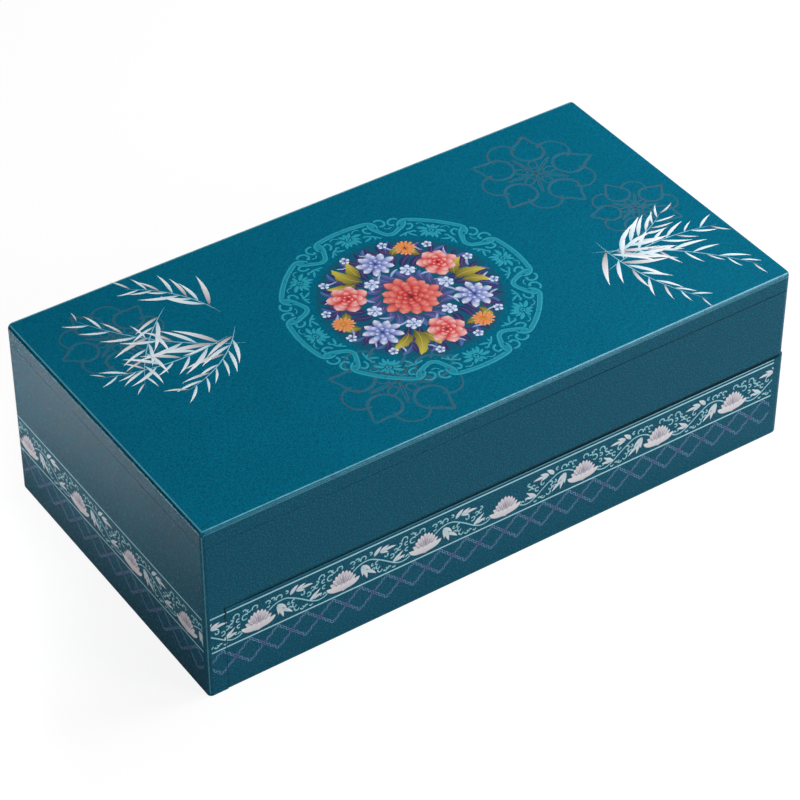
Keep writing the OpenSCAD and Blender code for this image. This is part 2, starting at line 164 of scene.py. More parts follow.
# Case, lid and drawer boards: fibreboard about 9 mm thick, glued and dowelled, then sprayed with teal
# lacquer over a linen-grained ground coat; painted shade makes the sides darker than the lid. Inner faces
# carry a darker and duller coat. Beside the outer arrises the coat turns a mid teal in streaks, partly wear
# and partly painted shading of the rounding, light lines along the arrises are painted highlights, and dark
# bands along the seams are painted shade.
MM = 0.001
lacquered_nodes = [
    "left_end_panel", "right_end_panel", "case_front_wall", "case_back_wall", "lid_board",
    "drawer_front_wall", "drawer_back_wall", "drawer_right_end",
]
lacquer_teal = (0.0006, 0.156, 0.258, 1)
lacquer_deep = (0.0004, 0.142, 0.236, 1)
lacquer_dark = (0.0003, 0.076, 0.136, 1)
lacquer_fleck = (0.004, 0.200, 0.300, 1)
# Mid teal for streaks beside the arrises: partly wear and partly painted shading of the rounding.
lacquer_worn_shading = (0.006, 0.130, 0.200, 1)
# Painted highlight: the light lines along the arrises and upright corners.
arris_highlight = (0.20, 0.54, 0.65, 1)
# Dark dull coat of the inner faces; along the lid's seam it is also laid as painted shade.
inner_coat_and_seam_shade = (0.002, 0.040, 0.065, 1)
lacquer_roughness = 0.23
lacquer_gloss = 1.3
# Painted shade: the share of the lit coat left on the sides, the rest darkened towards lacquer_dark.
side_lit_share = 0.30
outer_coat_depth = 1.0 * MM
linen_thread = 0.5 * MM
fleck_scale = 1400
top_skin = 0.5 * MM
highlight_reach = 0.75 * MM
worn_shading_reach = 1.7 * MM
rim_height = 2.0 * MM
border_place = 1.25 * MM
border_half = 0.42 * MM
# Painted shade along the lid's seam, the drawer's seam and the joint of the drawer and the left end: where
# each lies, its half-width and reach, and where along the box it grows.
lid_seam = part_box("lid_board")[0].z - 0.1 * MM
lid_shade_half = 0.15 * MM
lid_shade_reach = 0.5 * MM
lid_shade_start, lid_shade_full = -60 * MM, 50 * MM
drawer_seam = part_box("case_front_wall")[0].z
drawer_shade_half = 0.3 * MM
drawer_shade_reach = 1.5 * MM
drawer_shade_start, drawer_shade_full = cad_low.x + 9 * MM, cad_low.x + 25 * MM
drawer_shade_thin, drawer_shade_thick = -100 * MM, 90 * MM
panel_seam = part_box("left_end_panel")[1].x
joint_half = 0.2 * MM
joint_depth = 4 * MM
seam_shade_black = (0.0003, 0.012, 0.020, 1)


def new_group(name, inputs, outputs):
    """A shader node group with the named sockets, and its input and output nodes."""
    made = bpy.data.node_groups.new(name, "ShaderNodeTree")
    for label, kind in inputs.items():
        made.interface.new_socket(label, in_out="INPUT", socket_type="NodeSocket" + kind)
    for label, kind in outputs.items():
        made.interface.new_socket(label, in_out="OUTPUT", socket_type="NodeSocket" + kind)
    return made, made.nodes.new("NodeGroupInput"), made.nodes.new("NodeGroupOutput")


def math(tree, operation, first, second=0.0, third=0.0):
    """Result socket of one Math node."""
    return add_node(tree, "Math", {0: first, 1: second, 2: third}, operation=operation).outputs[0]


def ramp(tree, value, low, high, start=0.0, end=1.0):
    """Value carried smoothly from start at low to end at high."""
    made = add_node(tree, "MapRange", {"Value": value, "From Min": low, "From Max": high,
                                       "To Min": start, "To Max": end}, interpolation_type="SMOOTHSTEP")
    return made.outputs[0]


def product(tree, first, *others):
    """All the given sockets and numbers multiplied."""
    for other in others:
        first = math(tree, "MULTIPLY", first, other)
    return first


def away_from(tree, value, place):
    """Distance of a value from a place, to either side of it."""
    return math(tree, "ABSOLUTE", math(tree, "SUBTRACT", value, place))


def mix(tree, share, first, second):
    """First colour turning to the second as share goes from 0 to 1."""
    return add_node(tree, "Mix", {0: share, 6: first, 7: second}, data_type="RGBA").outputs[2]


def noise(tree, place, scale, detail=2.0, stretch=(1, 1, 1)):
    """Noise value whose cells are 1/scale metres across, drawn out along an axis by stretch."""
    spread = add_node(tree, "Mapping", {"Vector": place, "Scale": tuple(scale / s for s in stretch)})
    return add_node(tree, "TexNoise", {"Vector": spread.outputs[0], "Scale": 1.0,
                                       "Detail": detail}).outputs["Fac"]


# Linen grain: threads along X, Y and Z, each a noise drawn out along its thread, so every face of a
# square box shows two crossing sets.
linen, socket_in, socket_out = new_group(
    "linen_grain", {"Place": "Vector", "Thread": "Float"}, {"Height": "Float"})
fine = add_node(linen, "VectorMath", {0: socket_in.outputs["Place"]}, operation="SCALE")
linen.links.new(math(linen, "DIVIDE", 1.0, socket_in.outputs["Thread"]), fine.inputs["Scale"])
threads = [noise(linen, fine.outputs[0], 1.0, 1.0, stretch)
           for stretch in ((5, 1, 1), (1, 5, 1), (1, 1, 5))]
woven = math(linen, "ADD", math(linen, "ADD", threads[0], threads[1]), threads[2])
linen.links.new(math(linen, "MULTIPLY", woven, 1 / 3), socket_out.inputs["Height"])

# Arris: how near a point is to an edge of a box, from 1 on the edge to 0 at reach, with its distance from
# the edge and from the nearest face. An edge is where two of the three distances to the box's faces are
# small, so the middle one of the three decides.
arris, socket_in, socket_out = new_group(
    "arris", {"Place": "Vector", "Low": "Vector", "High": "Vector", "Reach": "Float"},
    {"Edge": "Float", "Skin": "Float", "Away": "Float"})
from_low = add_node(arris, "VectorMath", {0: socket_in.outputs["Place"], 1: socket_in.outputs["Low"]},
                    operation="SUBTRACT")
from_high = add_node(arris, "VectorMath", {0: socket_in.outputs["High"], 1: socket_in.outputs["Place"]},
                     operation="SUBTRACT")
nearest = add_node(arris, "VectorMath", {0: from_low.outputs[0], 1: from_high.outputs[0]},
                   operation="MINIMUM")
apart = add_node(arris, "SeparateXYZ", {0: nearest.outputs[0]}).outputs
least_xy = math(arris, "MINIMUM", apart[0], apart[1])
most_xy = math(arris, "MAXIMUM", apart[0], apart[1])
middle = math(arris, "MAXIMUM", least_xy, math(arris, "MINIMUM", most_xy, apart[2]))
near_share = math(arris, "DIVIDE", middle, socket_in.outputs["Reach"])
arris.links.new(ramp(arris, near_share, 0.35, 1.0, 1.0, 0.0), socket_out.inputs["Edge"])
arris.links.new(math(arris, "MINIMUM", least_xy, apart[2]), socket_out.inputs["Skin"])
arris.links.new(middle, socket_out.inputs["Away"])


def place_group(tree, group, inputs):
    """A copy of a node group in a material, with its own values; returns its outputs."""
    return add_node(tree, "Group", inputs, node_tree=group).outputs


def finish_material(tree, colour, roughness, height=None, depth=0.0, **constants):
    """Ends a material in one principled shader, with an optional bump of the given depth."""
    shader = add_node(tree, "BsdfPrincipled", {"Base Color": colour, "Roughness": roughness})
    for key, value in constants.items():
        shader.inputs[key.replace("_", " ")].default_value = value
    if height is not None:
        bump = add_node(tree, "Bump", {"Height": height, "Distance": depth, "Strength": 1.0})
        tree.links.new(bump.outputs[0], shader.inputs["Normal"])
    add_node(tree, "OutputMaterial", {"Surface": shader.outputs[0]})


def sprayed_coat_and_side_shade(tree, place, grain, on_top):
    """Colour of the coat: cloudy teal, darker between the threads of the grain, with dark and light flecks,
    and darkened on the sides as painted shade."""
    cloud = ramp(tree, noise(tree, place, 60, 3.0), 0.3, 0.7)
    coat = mix(tree, cloud, lacquer_deep, lacquer_teal)
    # Painted shade: the sides are darkened towards lacquer_dark, while the lid keeps its coat.
    coat = mix(tree, math(tree, "MULTIPLY_ADD", on_top, 1 - side_lit_share, side_lit_share), lacquer_dark, coat)
    coat = mix(tree, ramp(tree, grain, 0.38, 0.58, 0.9, 0.0), coat, lacquer_dark)
    fleck = noise(tree, place, fleck_scale, 1.0)
    fleck_strength = math(tree, "MULTIPLY_ADD", on_top, -0.4, 0.8)
    coat = mix(tree, ramp(tree, fleck, 0.36, 0.50, fleck_strength, 0.0), coat, lacquer_dark)
    return mix(tree, ramp(tree, fleck, 0.50, 0.64, 0.0, fleck_strength), coat, lacquer_fleck)


def edge_wear_and_highlights(tree, coat, place, edge, on_top):
    """The coat turned a mid teal in streaks beside the arrises, partly wear and partly painted shading of the
    rounding, and painted highlights as light lines: one at either border of the rounding round the top, and
    one on each upright corner down to its foot."""
    along, _, height = add_node(tree, "SeparateXYZ", {0: place}).outputs
    streaks = ramp(tree, noise(tree, place, 300, 3.0), 0.3, 0.6)
    past_left = ramp(tree, along, cad_low.x + rim_height, cad_low.x + 2 * rim_height)
    # Partly wear and partly painted shading: a mid teal in streaks on the rounding beside the arrises, off
    # the lid's face.
    worn_shading = product(tree, edge["Edge"], past_left, math(tree, "SUBTRACT", 1.0, on_top), streaks)
    coat = mix(tree, worn_shading, coat, lacquer_worn_shading)
    # Painted highlights: a light line at either border of the rounding round the top, and one on each upright
    # corner.
    off_border = away_from(tree, edge["Away"], border_place)
    border = product(tree, ramp(tree, off_border, 0.2 * border_half, border_half, 1.0, 0.0),
                     math(tree, "MULTIPLY_ADD", on_top, 0.45, 0.35),
                     math(tree, "MULTIPLY_ADD", past_left, 0.2, 0.8))
    upright = product(tree, ramp(tree, edge["Away"], 0.8 * highlight_reach, 1.25 * highlight_reach, 0.6, 0.0),
                      ramp(tree, height, cad_low.z + 0.5 * rim_height, cad_low.z + rim_height))
    on_rim = ramp(tree, height, cad_high.z - 1.1 * rim_height, cad_high.z - rim_height)
    edge_highlight = add_node(tree, "Mix", {0: on_rim, 2: upright, 3: border}).outputs[0]
    patchy = math(tree, "MULTIPLY_ADD", streaks, 0.3, 0.7)
    return mix(tree, product(tree, edge_highlight, patchy), coat, arris_highlight)


def painted_seam_shade(tree, coat, place):
    """The coat with painted shade: along the lid's seam, growing to the right, darker along the drawer's seam
    and thicker to the right, and at the top of the joint between the drawer and the left end."""
    along, _, height = add_node(tree, "SeparateXYZ", {0: place}).outputs
    off_lid = away_from(tree, height, lid_seam)
    # Painted shade along the lid's seam, growing to the right.
    shade_at_lid = product(tree, ramp(tree, off_lid, lid_shade_half, lid_shade_reach, 1.0, 0.0),
                    ramp(tree, along, lid_shade_start, lid_shade_full, 0.0, 0.7))
    coat = mix(tree, shade_at_lid, coat, inner_coat_and_seam_shade)
    off_drawer = away_from(tree, height, drawer_seam)
    # Painted shade along the drawer's seam, thicker to the right.
    shade_at_drawer = product(tree, ramp(tree, off_drawer, drawer_shade_half, drawer_shade_reach, 1.0, 0.0),
                   ramp(tree, along, drawer_shade_start, drawer_shade_full),
                   ramp(tree, along, drawer_shade_thin, drawer_shade_thick, 0.6, 1.0))
    off_panel = away_from(tree, along, panel_seam)
    # Painted shade at the top of the joint between the drawer and the left end.
    shade_at_joint = product(tree, ramp(tree, off_panel, joint_half, 3 * joint_half, 0.9, 0.0),
                         ramp(tree, height, drawer_seam - 2 * joint_depth, drawer_seam - joint_depth),
                         ramp(tree, height, drawer_seam, drawer_seam + 1 * MM, 1.0, 0.0))
    return mix(tree, math(tree, "MAXIMUM", shade_at_drawer, shade_at_joint), coat, seam_shade_black)


def lacquer(name):
    """Teal lacquer for the boards: a sprayed coat over linen grain with painted shade on the sides, dull on
    inner faces, with wear, painted shading and painted highlights along the arrises, and painted shade along
    the seams."""
    made, tree = new_tree(name)
    place = add_node(tree, "TexCoord").outputs["Object"]
    height = add_node(tree, "SeparateXYZ", {0: place}).outputs[2]
    on_top = ramp(tree, height, cad_high.z - top_skin, cad_high.z - 0.2 * top_skin)
    grain = place_group(tree, linen, {"Place": place, "Thread": linen_thread})["Height"]
    edge = place_group(tree, arris, {"Place": place, "Low": cad_low, "High": cad_high, "Reach": worn_shading_reach})
    inside = ramp(tree, edge["Skin"], outer_coat_depth, 2 * outer_coat_depth)
    coat = mix(tree, inside, sprayed_coat_and_side_shade(tree, place, grain, on_top), inner_coat_and_seam_shade)
    coat = painted_seam_shade(tree, edge_wear_and_highlights(tree, coat, place, edge, on_top), place)
    rough = math(tree, "ADD", ramp(tree, grain, 0.3, 0.7, lacquer_roughness + 0.06, lacquer_roughness),
                 math(tree, "MULTIPLY", inside, 0.25))
    finish_material(tree, coat, rough, grain, 0.06 * MM, IOR=lacquer_gloss)
    return made


def dress(node, material):
    """Gives a CAD node its finish."""
    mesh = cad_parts[node].data
    mesh.materials.clear()
    mesh.materials.append(material)


board_lacquer = lacquer("teal_lacquer")
for node in lacquered_nodes:
    dress(node, board_lacquer)

# Compartment floor, base, drawer bottom and the drawer's inner end: bare fibreboard, held in grooves or
# glued and dowelled, fawn, with a fine random fleck of darker fibres and a dull face.
fibre_nodes = ["compartment_floor", "base_board", "drawer_bottom", "drawer_left_end"]
fibre_fawn = (0.40, 0.25, 0.125, 1)
fibre_brown = (0.24, 0.135, 0.06, 1)
fibreboard, tree = new_tree("bare_fibreboard")
place = add_node(tree, "TexCoord").outputs["Object"]
fleck = noise(tree, place, 1600, 2.0, (3, 1, 1))
cloud = noise(tree, place, 70, 3.0)
fibre_colour = mix(tree, ramp(tree, fleck, 0.4, 0.68), fibre_fawn, fibre_brown)
fibre_colour = mix(tree, ramp(tree, cloud, 0.3, 0.8, 0.0, 0.4), fibre_colour, fibre_brown)
finish_material(tree, fibre_colour, ramp(tree, fleck, 0.3, 0.7, 0.72, 0.85), fleck, 0.06 * MM)
for node in fibre_nodes:
    dress(node, fibreboard)

# Drawer stop and dowels: turned and sawn beech, pale pink-brown, with short dark ray flecks that
# run with the grain. The stop is screwed under the floor, and the dowels are glued in.
beech_nodes = ["drawer_stop", "case_dowels", "drawer_dowels"]
beech_pale = (0.58, 0.38, 0.215, 1)
beech_dark = (0.40, 0.225, 0.11, 1)
beech, tree = new_tree("bare_beech")
place = add_node(tree, "TexCoord").outputs["Object"]
growth = noise(tree, place, 260, 3.0, (1, 8, 1))
rays = noise(tree, place, 1500, 1.0, (1, 5, 1))
beech_colour = mix(tree, ramp(tree, growth, 0.3, 0.7), beech_pale, beech_dark)
beech_colour = mix(tree, ramp(tree, rays, 0.6, 0.72, 0.0, 0.6), beech_colour, beech_dark)
finish_material(tree, beech_colour, ramp(tree, growth, 0.3, 0.7, 0.5, 0.62), growth, 0.05 * MM)
for node in beech_nodes:
    dress(node, beech)

# Hinges, screws, lock bush, pin and knob: drawn and turned brass, satin from fine brushing, a little
# darker in patches. The magnets, discs glued into blind holes, and the stop's screws are nickel plated.
brass_nodes = ["hinge_case_leaves", "hinge_lid_leaves", "hinge_pins", "hinge_case_screws",
               "hinge_lid_screws", "lock_bush", "lock_pin", "lock_knob"]
nickel_nodes = ["case_magnets", "lid_magnets", "stop_screws"]
metals = {
    "satin_brass": (brass_nodes, (0.62, 0.41, 0.13, 1), (0.42, 0.25, 0.07, 1), 0.3),
    "nickel_plate": (nickel_nodes, (0.60, 0.58, 0.54, 1), (0.42, 0.41, 0.39, 1), 0.22),
}
for name, (nodes, bright, dull, rough) in metals.items():
    metal, tree = new_tree(name)
    place = add_node(tree, "TexCoord").outputs["Object"]
    brushing = noise(tree, place, 4000, 1.0, (20, 1, 1))
    tarnish = ramp(tree, noise(tree, place, 250, 3.0), 0.45, 0.75, 0.0, 0.7)
    rub = math(tree, "ADD", ramp(tree, brushing, 0.3, 0.7, rough, rough + 0.1),
               math(tree, "MULTIPLY", tarnish, 0.15))
    finish_material(tree, mix(tree, tarnish, bright, dull), rub, brushing, 0.01 * MM, Metallic=1.0)
    for node in nodes:
        dress(node, metal)

# Linings: 2 mm pressed wool felt, wine red, cut to the inside of the compartment, lid and drawer and
# laid in with glue. The compartment's piece has a round hole for the flange of the lock's bush.
felt_wine = (0.150, 0.012, 0.022, 1)
felt_dark = (0.085, 0.006, 0.012, 1)
felt_fuzz = (0.30, 0.05, 0.06, 1)
felt_edge_round = 0.6 * MM
felt_wave = 0.12 * MM
felt_around = 160
felt_rings = 26
felt_bends = 5
lock_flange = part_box("lock_bush")
lock_centre = [(a + b) / 2 for a, b in zip(*lock_flange)]
flange_hole = (lock_flange[1].x - lock_flange[0].x) / 2 + 0.5 * MM
linings = {
    "compartment_felt": ("compartment_lining", "case", "compartment_floor", flange_hole, 1),
    "lid_felt": ("lid_lining", "lid", "lid_board", 0.0, -1),
    "drawer_felt": ("drawer_lining", "drawer", "drawer_bottom", 0.0, 1),
}

felt, tree = new_tree("wine_felt")
place = add_node(tree, "TexCoord").outputs["Object"]
hairs = noise(tree, place, 2600, 2.0)
matting = noise(tree, place, 420, 4.0)
felt_colour = mix(tree, ramp(tree, matting, 0.3, 0.7), felt_dark, felt_wine)
felt_colour = mix(tree, ramp(tree, hairs, 0.55, 0.75, 0.0, 0.5), felt_colour, felt_fuzz)
finish_material(tree, felt_colour, ramp(tree, hairs, 0.3, 0.7, 0.85, 0.98), hairs, 0.25 * MM,
                Sheen_Weight=0.35, Sheen_Roughness=0.5, Specular_IOR_Level=0.2)


def grid_quads(rows, columns, close_rows=False):
    """Quads of a grid of points, row by row. The columns run round to the first again, and so do the
    rows where close_rows is set."""
    row = np.arange(rows if close_rows else rows - 1)[:, None]
    column = np.arange(columns)[None]
    after_row, after_column = (row + 1) % rows, (column + 1) % columns
    return np.stack([row * columns + column, after_row * columns + column,
                     after_row * columns + after_column, row * columns + after_column], -1).reshape(-1, 4)


def new_piece(name, points, faces, material, body):
    """A mesh object from points and faces, with its finish, on the body it moves with."""
    mesh = bpy.data.meshes.new(name)
    mesh.from_pydata(points.reshape(-1, 3).tolist(), [], faces)
    mesh.validate()
    mesh.materials.append(material)
    made = bpy.data.objects.new(name, mesh)
    bpy.context.collection.objects.link(made)
    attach(made, body)
    return made


def felt_sheet(low, high, hole, up):
    """Felt cut as a rectangle. One parameter runs round the cut and the other from the middle, or
    from the hole, out over the face, round the soft edge and back under the sheet. The face waves a
    little, as a sum of two sines."""
    low, high = np.array(low), np.array(high)
    centre = (low + high)[:2] / 2
    heart = np.array([lock_centre[0], lock_centre[1]]) if hole else centre
    half = (high - low)[:2] / 2
    angle = np.linspace(0, 2 * pi, felt_around, endpoint=False) + pi / felt_around
    ray = np.stack([np.cos(angle), np.sin(angle)], -1)
    wall = np.where(ray > 0, centre + half - heart, heart - centre + half)
    reach = (wall / np.abs(ray)).min(1)
    out = np.linspace(0, 1, felt_rings) ** 0.8
    bend = np.linspace(0, pi, felt_bends + 2)[1:-1]
    flat_inset = np.full(felt_rings, felt_edge_round)
    inset = np.concatenate([flat_inset, felt_edge_round * (1 - np.sin(bend)), flat_inset])
    share = np.concatenate([out, np.ones(felt_bends), out[::-1]])
    top = np.concatenate([np.ones(felt_rings), (1 + np.cos(bend)) / 2, np.zeros(felt_rings)])
    start = max(hole, 1e-6)
    away = start + (reach[None] - inset[:, None] - start) * share[:, None]
    flat = heart + ray[None] * away[..., None]
    wave = felt_wave * (np.sin(flat[..., 0] * 90) + np.sin(flat[..., 1] * 130 + 1)) / 2
    thick = high[2] - low[2] - felt_wave
    rise = thick * top[:, None] + wave * (top[:, None] == 1)
    level = low[2] + rise if up > 0 else high[2] - rise
    return np.concatenate([flat, level[..., None]], -1)


for name, (node, body, under, hole, up) in linings.items():
    low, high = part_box(node)
    points = felt_sheet(low, high, hole, up)
    faces = grid_quads(len(points), felt_around, close_rows=hole > 0).tolist()
    if not hole:
        first_ring = np.arange(felt_around)
        faces += [first_ring.tolist(), (points[..., 0].size - 1 - first_ring).tolist()]
    if up > 0:
        faces = [face[::-1] for face in faces]
    piece = new_piece(name, points, faces, felt, body)
    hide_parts(node)
    width, length = high.x - low.x, high.y - low.y

# Printed ornament: inks laid on the lacquer by transfer, thin enough to feel and no more. Every
# figure is made of brush strokes, and each stroke is a low arch of ink carried along its path.
ink_rise = 0.05
ink_sunk = 0.03
line_across = np.array([-1, -0.5, 0.5, 1])
leaf_across = np.array([-1, -0.65, 0, 0.65, 1])
petal_across = np.array([-1, -0.86, -0.66, 0, 0.66, 0.86, 1])


def strokes(path, half, colour, lift=0.0, across=line_across):
    """Ink strokes in millimetres on a flat face: points that lie at across times the half-width to
    either side of each path, raised as the root of 1 less the square of across. Path is strokes by
    steps by 2, and colour is spread over strokes, steps and the points across."""
    path = np.asarray(path, float)
    half = np.broadcast_to(half, path.shape[:2])
    run = np.gradient(path, axis=1)
    run /= np.linalg.norm(run, axis=2, keepdims=True) + 1e-9
    side = np.stack([-run[..., 1], run[..., 0]], -1)
    flat = path[:, :, None] + side[:, :, None] * (half[..., None] * across)[..., None]
    arch = np.sqrt(np.clip(1 - across ** 2, 0, 1))
    fullness = np.sqrt(half / half.max(1, keepdims=True))
    height = lift + ink_rise * arch * fullness[..., None] - ink_sunk * (arch == 0)
    shape = flat.shape[:3]
    points = np.concatenate([flat, np.broadcast_to(height, shape)[..., None]], -1)
    return points, np.broadcast_to(colour, shape + (3,))


def ink_faces(count, steps, wide):
    """Quads round each stroke and a face over either end of it."""
    one = grid_quads(steps, wide)
    first = np.arange(count)[:, None] * steps * wide
    quads = (first[..., None] + one).reshape(-1, 4)
    ends = np.concatenate([first + np.arange(wide), first + (steps * wide - 1 - np.arange(wide))])
    return quads, ends


def printing_ink(name, rough):
    """Ink coloured by its own attribute, a little uneven, over the lacquer's linen grain."""
    made, tree = new_tree(name)
    place = add_node(tree, "TexCoord").outputs["Object"]
    shade = add_node(tree, "Attribute", attribute_name="ink").outputs["Color"]
    grain = place_group(tree, linen, {"Place": place, "Thread": linen_thread})["Height"]
    thin = ramp(tree, grain, 0.40, 0.60, 0.08, 0.0)
    dullness = ramp(tree, grain, 0.3, 0.7, rough + 0.05, rough)
    finish_material(tree, mix(tree, thin, shade, lacquer_teal), dullness, grain, 0.08 * MM, IOR=lacquer_gloss)
    return made


ink_material = printing_ink("printing_ink", 0.45)


def print_piece(name, body, face, layers):
    """Lays layers of strokes on a face of the box. A face is its origin and its right and up
    directions in metres, seen from outside."""
    origin, right, up = (np.array(v, float) for v in face)
    points, shades, quads, ends, used = [], [], [], [], 0
    for layer, colour in layers:
        body_quads, body_ends = ink_faces(*layer.shape[:3])
        quads += (body_quads + used).tolist()
        ends += (body_ends + used).tolist()
        points.append(layer.reshape(-1, 3))
        shades.append(colour.reshape(-1, 3))
        used += layer[..., 0].size
    flat = np.concatenate(points)
    axes = np.stack([right, up, np.cross(right, up)])
    piece = new_piece(name, origin + flat @ axes * MM, quads + ends, ink_material, body)
    ink = piece.data.attributes.new("ink", "FLOAT_COLOR", "POINT")
    ink.data.foreach_set("color", np.insert(np.concatenate(shades), 3, 1, axis=1).ravel())
    corner = np.empty(len(piece.data.loops), int)
    piece.data.loops.foreach_get("vertex_index", corner)
    sheet = flat[:, :2] - flat[:, :2].min(0)
    sheet = 0.01 + 0.98 * sheet / sheet.max()
    piece.data.uv_layers.new(name="OFBake").uv.foreach_set("vector", sheet[corner].ravel())
    return piece


def smooth(points, steps):
    """A smooth path through given points, by the Catmull-Rom rule, in even steps between each two."""
    points = np.asarray(points, float)
    ends = np.concatenate([2 * points[:1] - points[1:2], points, 2 * points[-1:] - points[-2:-1]])
    t = np.linspace(0, 1, steps, endpoint=False)[None, :, None]
    a, b, c, d = (ends[i:len(ends) - 3 + i, None] for i in range(4))
    square = 2 * a - 5 * b + 4 * c - d
    cube = 3 * b - a - 3 * c + d
    curve = 0.5 * (2 * b + (c - a) * t + square * t ** 2 + cube * t ** 3)
    return np.concatenate([curve.reshape(-1, 2), points[-1:]])


def blades(base, tip, half, bow=0.0, widest=0.5, steps=8, sharp=0.8):
    """Leaf and petal strokes: a curve from base to tip, bowed sideways by bow times its length, with a
    half-width that rises and falls as a sine, largest at the share of the way given by widest."""
    base, tip = np.broadcast_arrays(np.asarray(base, float), np.asarray(tip, float))
    s = np.linspace(0, 1, steps)
    way = tip - base
    side = np.stack([-way[:, 1], way[:, 0]], -1) * np.broadcast_to(bow, len(way))[:, None]
    path = base[:, None] + way[:, None] * s[:, None] + side[:, None] * (4 * s * (1 - s))[:, None]
    swell = np.sin(pi * s ** (np.log(0.5) / np.log(widest))) ** sharp
    return path, np.maximum(np.broadcast_to(half, len(way))[:, None] * swell, 0.03)


def curls(centre, radius, turn, sweep, half, steps=12):
    """Scroll strokes: points whose angle grows by sweep while their distance from the centre shrinks
    to a half, and whose half-width thins towards the inner end."""
    centre, radius, turn, sweep = (np.asarray(v, float) for v in (centre, radius, turn, sweep))
    s = np.linspace(0, 1, steps)
    angle = turn[:, None] + sweep[:, None] * s
    away = radius[:, None] * (1 - 0.5 * s)
    path = centre[:, None] + np.stack([np.cos(angle), np.sin(angle)], -1) * away[..., None]
    return path, half * (1 - 0.3 * s) * np.ones_like(angle)


def tone(root, end, steps, speed=1.0):
    """Colour that runs from root to end along a stroke, as the way along it to the power of speed."""
    s = np.linspace(0, 1, steps)[None, :, None, None] ** speed
    return np.array(root) * (1 - s) + np.array(end) * s


def cut(layers, start, stop):
    """Layers of strokes cut off at start and stop along the face. A stroke wholly outside is left out,
    and the points of the others are drawn back to the cut."""
    parts = []
    for points, colour in layers:
        kept = (points[..., 0].max((1, 2)) > start) & (points[..., 0].min((1, 2)) < stop)
        part = points[kept]
        part[..., 0] = np.clip(part[..., 0], start, stop)
        parts.append((part, colour[kept]))
    return [part for part in parts if len(part[0])]


# Band round the lower half: two light rules with a scroll of water lilies between them, and under it
# a lattice of twisted cord. It runs over the joint between the left end and the drawer to hide it.
rule_ink = (0.50, 0.85, 0.93)
vine_ink = (0.42, 0.76, 0.84)
curl_ink = (0.40, 0.74, 0.80)
lily_white = (0.98, 0.99, 1.0)
lily_rose = (0.76, 0.60, 0.68)
lily_plum = (0.26, 0.15, 0.34)
lily_line = (0.20, 0.12, 0.30)
lily_outline = 0.11
leaf_white = (0.92, 0.95, 1.0)
cord_light = (0.20, 0.36, 0.56)
cord_dark = (0.12, 0.20, 0.40)
cord_plum = (0.17, 0.13, 0.36)
rule_high = 42.65
rule_low = 23.8
rule_half = 0.42
rule_break = 0.6
# Painted highlight along the drawer's top edge, laid as a thin line of ink: dim at the left, bright at the
# right.
highlight_bright = (0.50, 0.84, 0.92)
highlight_dim = (0.004, 0.14, 0.21)
edge_height = 44.4
edge_half = 0.26
edge_steps = 40
edge_speed = 1.5
lily_pitch_long = 41.1
lily_shift_long = -2.2
lily_pitch_short = 44.2
lily_shift_short = -1.9
lily_foot = 24.8
vine_half = 0.40
cord_pitch = 13.44
cord_shift = 4.56
cord_low = 10.0
cord_high = 22.8
cord_twist = 0.58
cord_turns = 10
cord_half = 0.19

# One water lily seen from the side, in millimetres from its foot: groups of petals from the back to the
# front. A group is its right-hand rows of base and tip, the half-width, the bow, and whether it is one of
# the plum-hearted crown or of the white bowl.
lily_petals = [
    ([(0, 4.0, 0, 11.8), (0.7, 4.0, 1.9, 11.3), (1.3, 3.6, 3.5, 10.2)], 1.10, 0.0, True),
    ([(0.4, 3.4, 1.0, 9.8), (1.2, 3.2, 2.8, 9.0), (1.9, 3.0, 5.0, 8.6)], 1.0, 0.06, True),
    ([(0, 2.6, 0, 8.0), (0.9, 2.6, 1.9, 7.4), (1.7, 2.4, 3.9, 7.0), (2.3, 2.2, 6.4, 6.8)], 0.95, 0.06, True),
    ([(0.8, 1.2, 8.2, 4.8)], 1.25, -0.05, False),
    ([(0.6, 0.9, 5.6, 5.4)], 1.5, -0.05, False),
    ([(0.3, 0.7, 2.9, 5.0)], 1.5, -0.03, False),
    ([(0, 0.4, 0, 4.6)], 1.5, 0.0, False),
]
right_veins = np.array([(0.1, 4.6, 0.45, 10.4), (0.6, 4.6, 1.5, 9.7), (1.1, 4.4, 2.6, 8.8),
                        (1.6, 4.2, 3.8, 7.9), (2.1, 3.8, 5.0, 7.0)])
lily_veins = np.concatenate([right_veins, right_veins * (-1, 1, -1, 1)])
vein_half = 0.27


def edged(colour, line, share, power, across=leaf_across):
    """A colour that turns to line towards the two edges of a stroke, as a power of the way across."""
    edge = (share * np.abs(across) ** power)[:, None]
    return colour * (1 - edge) + np.array(line) * edge


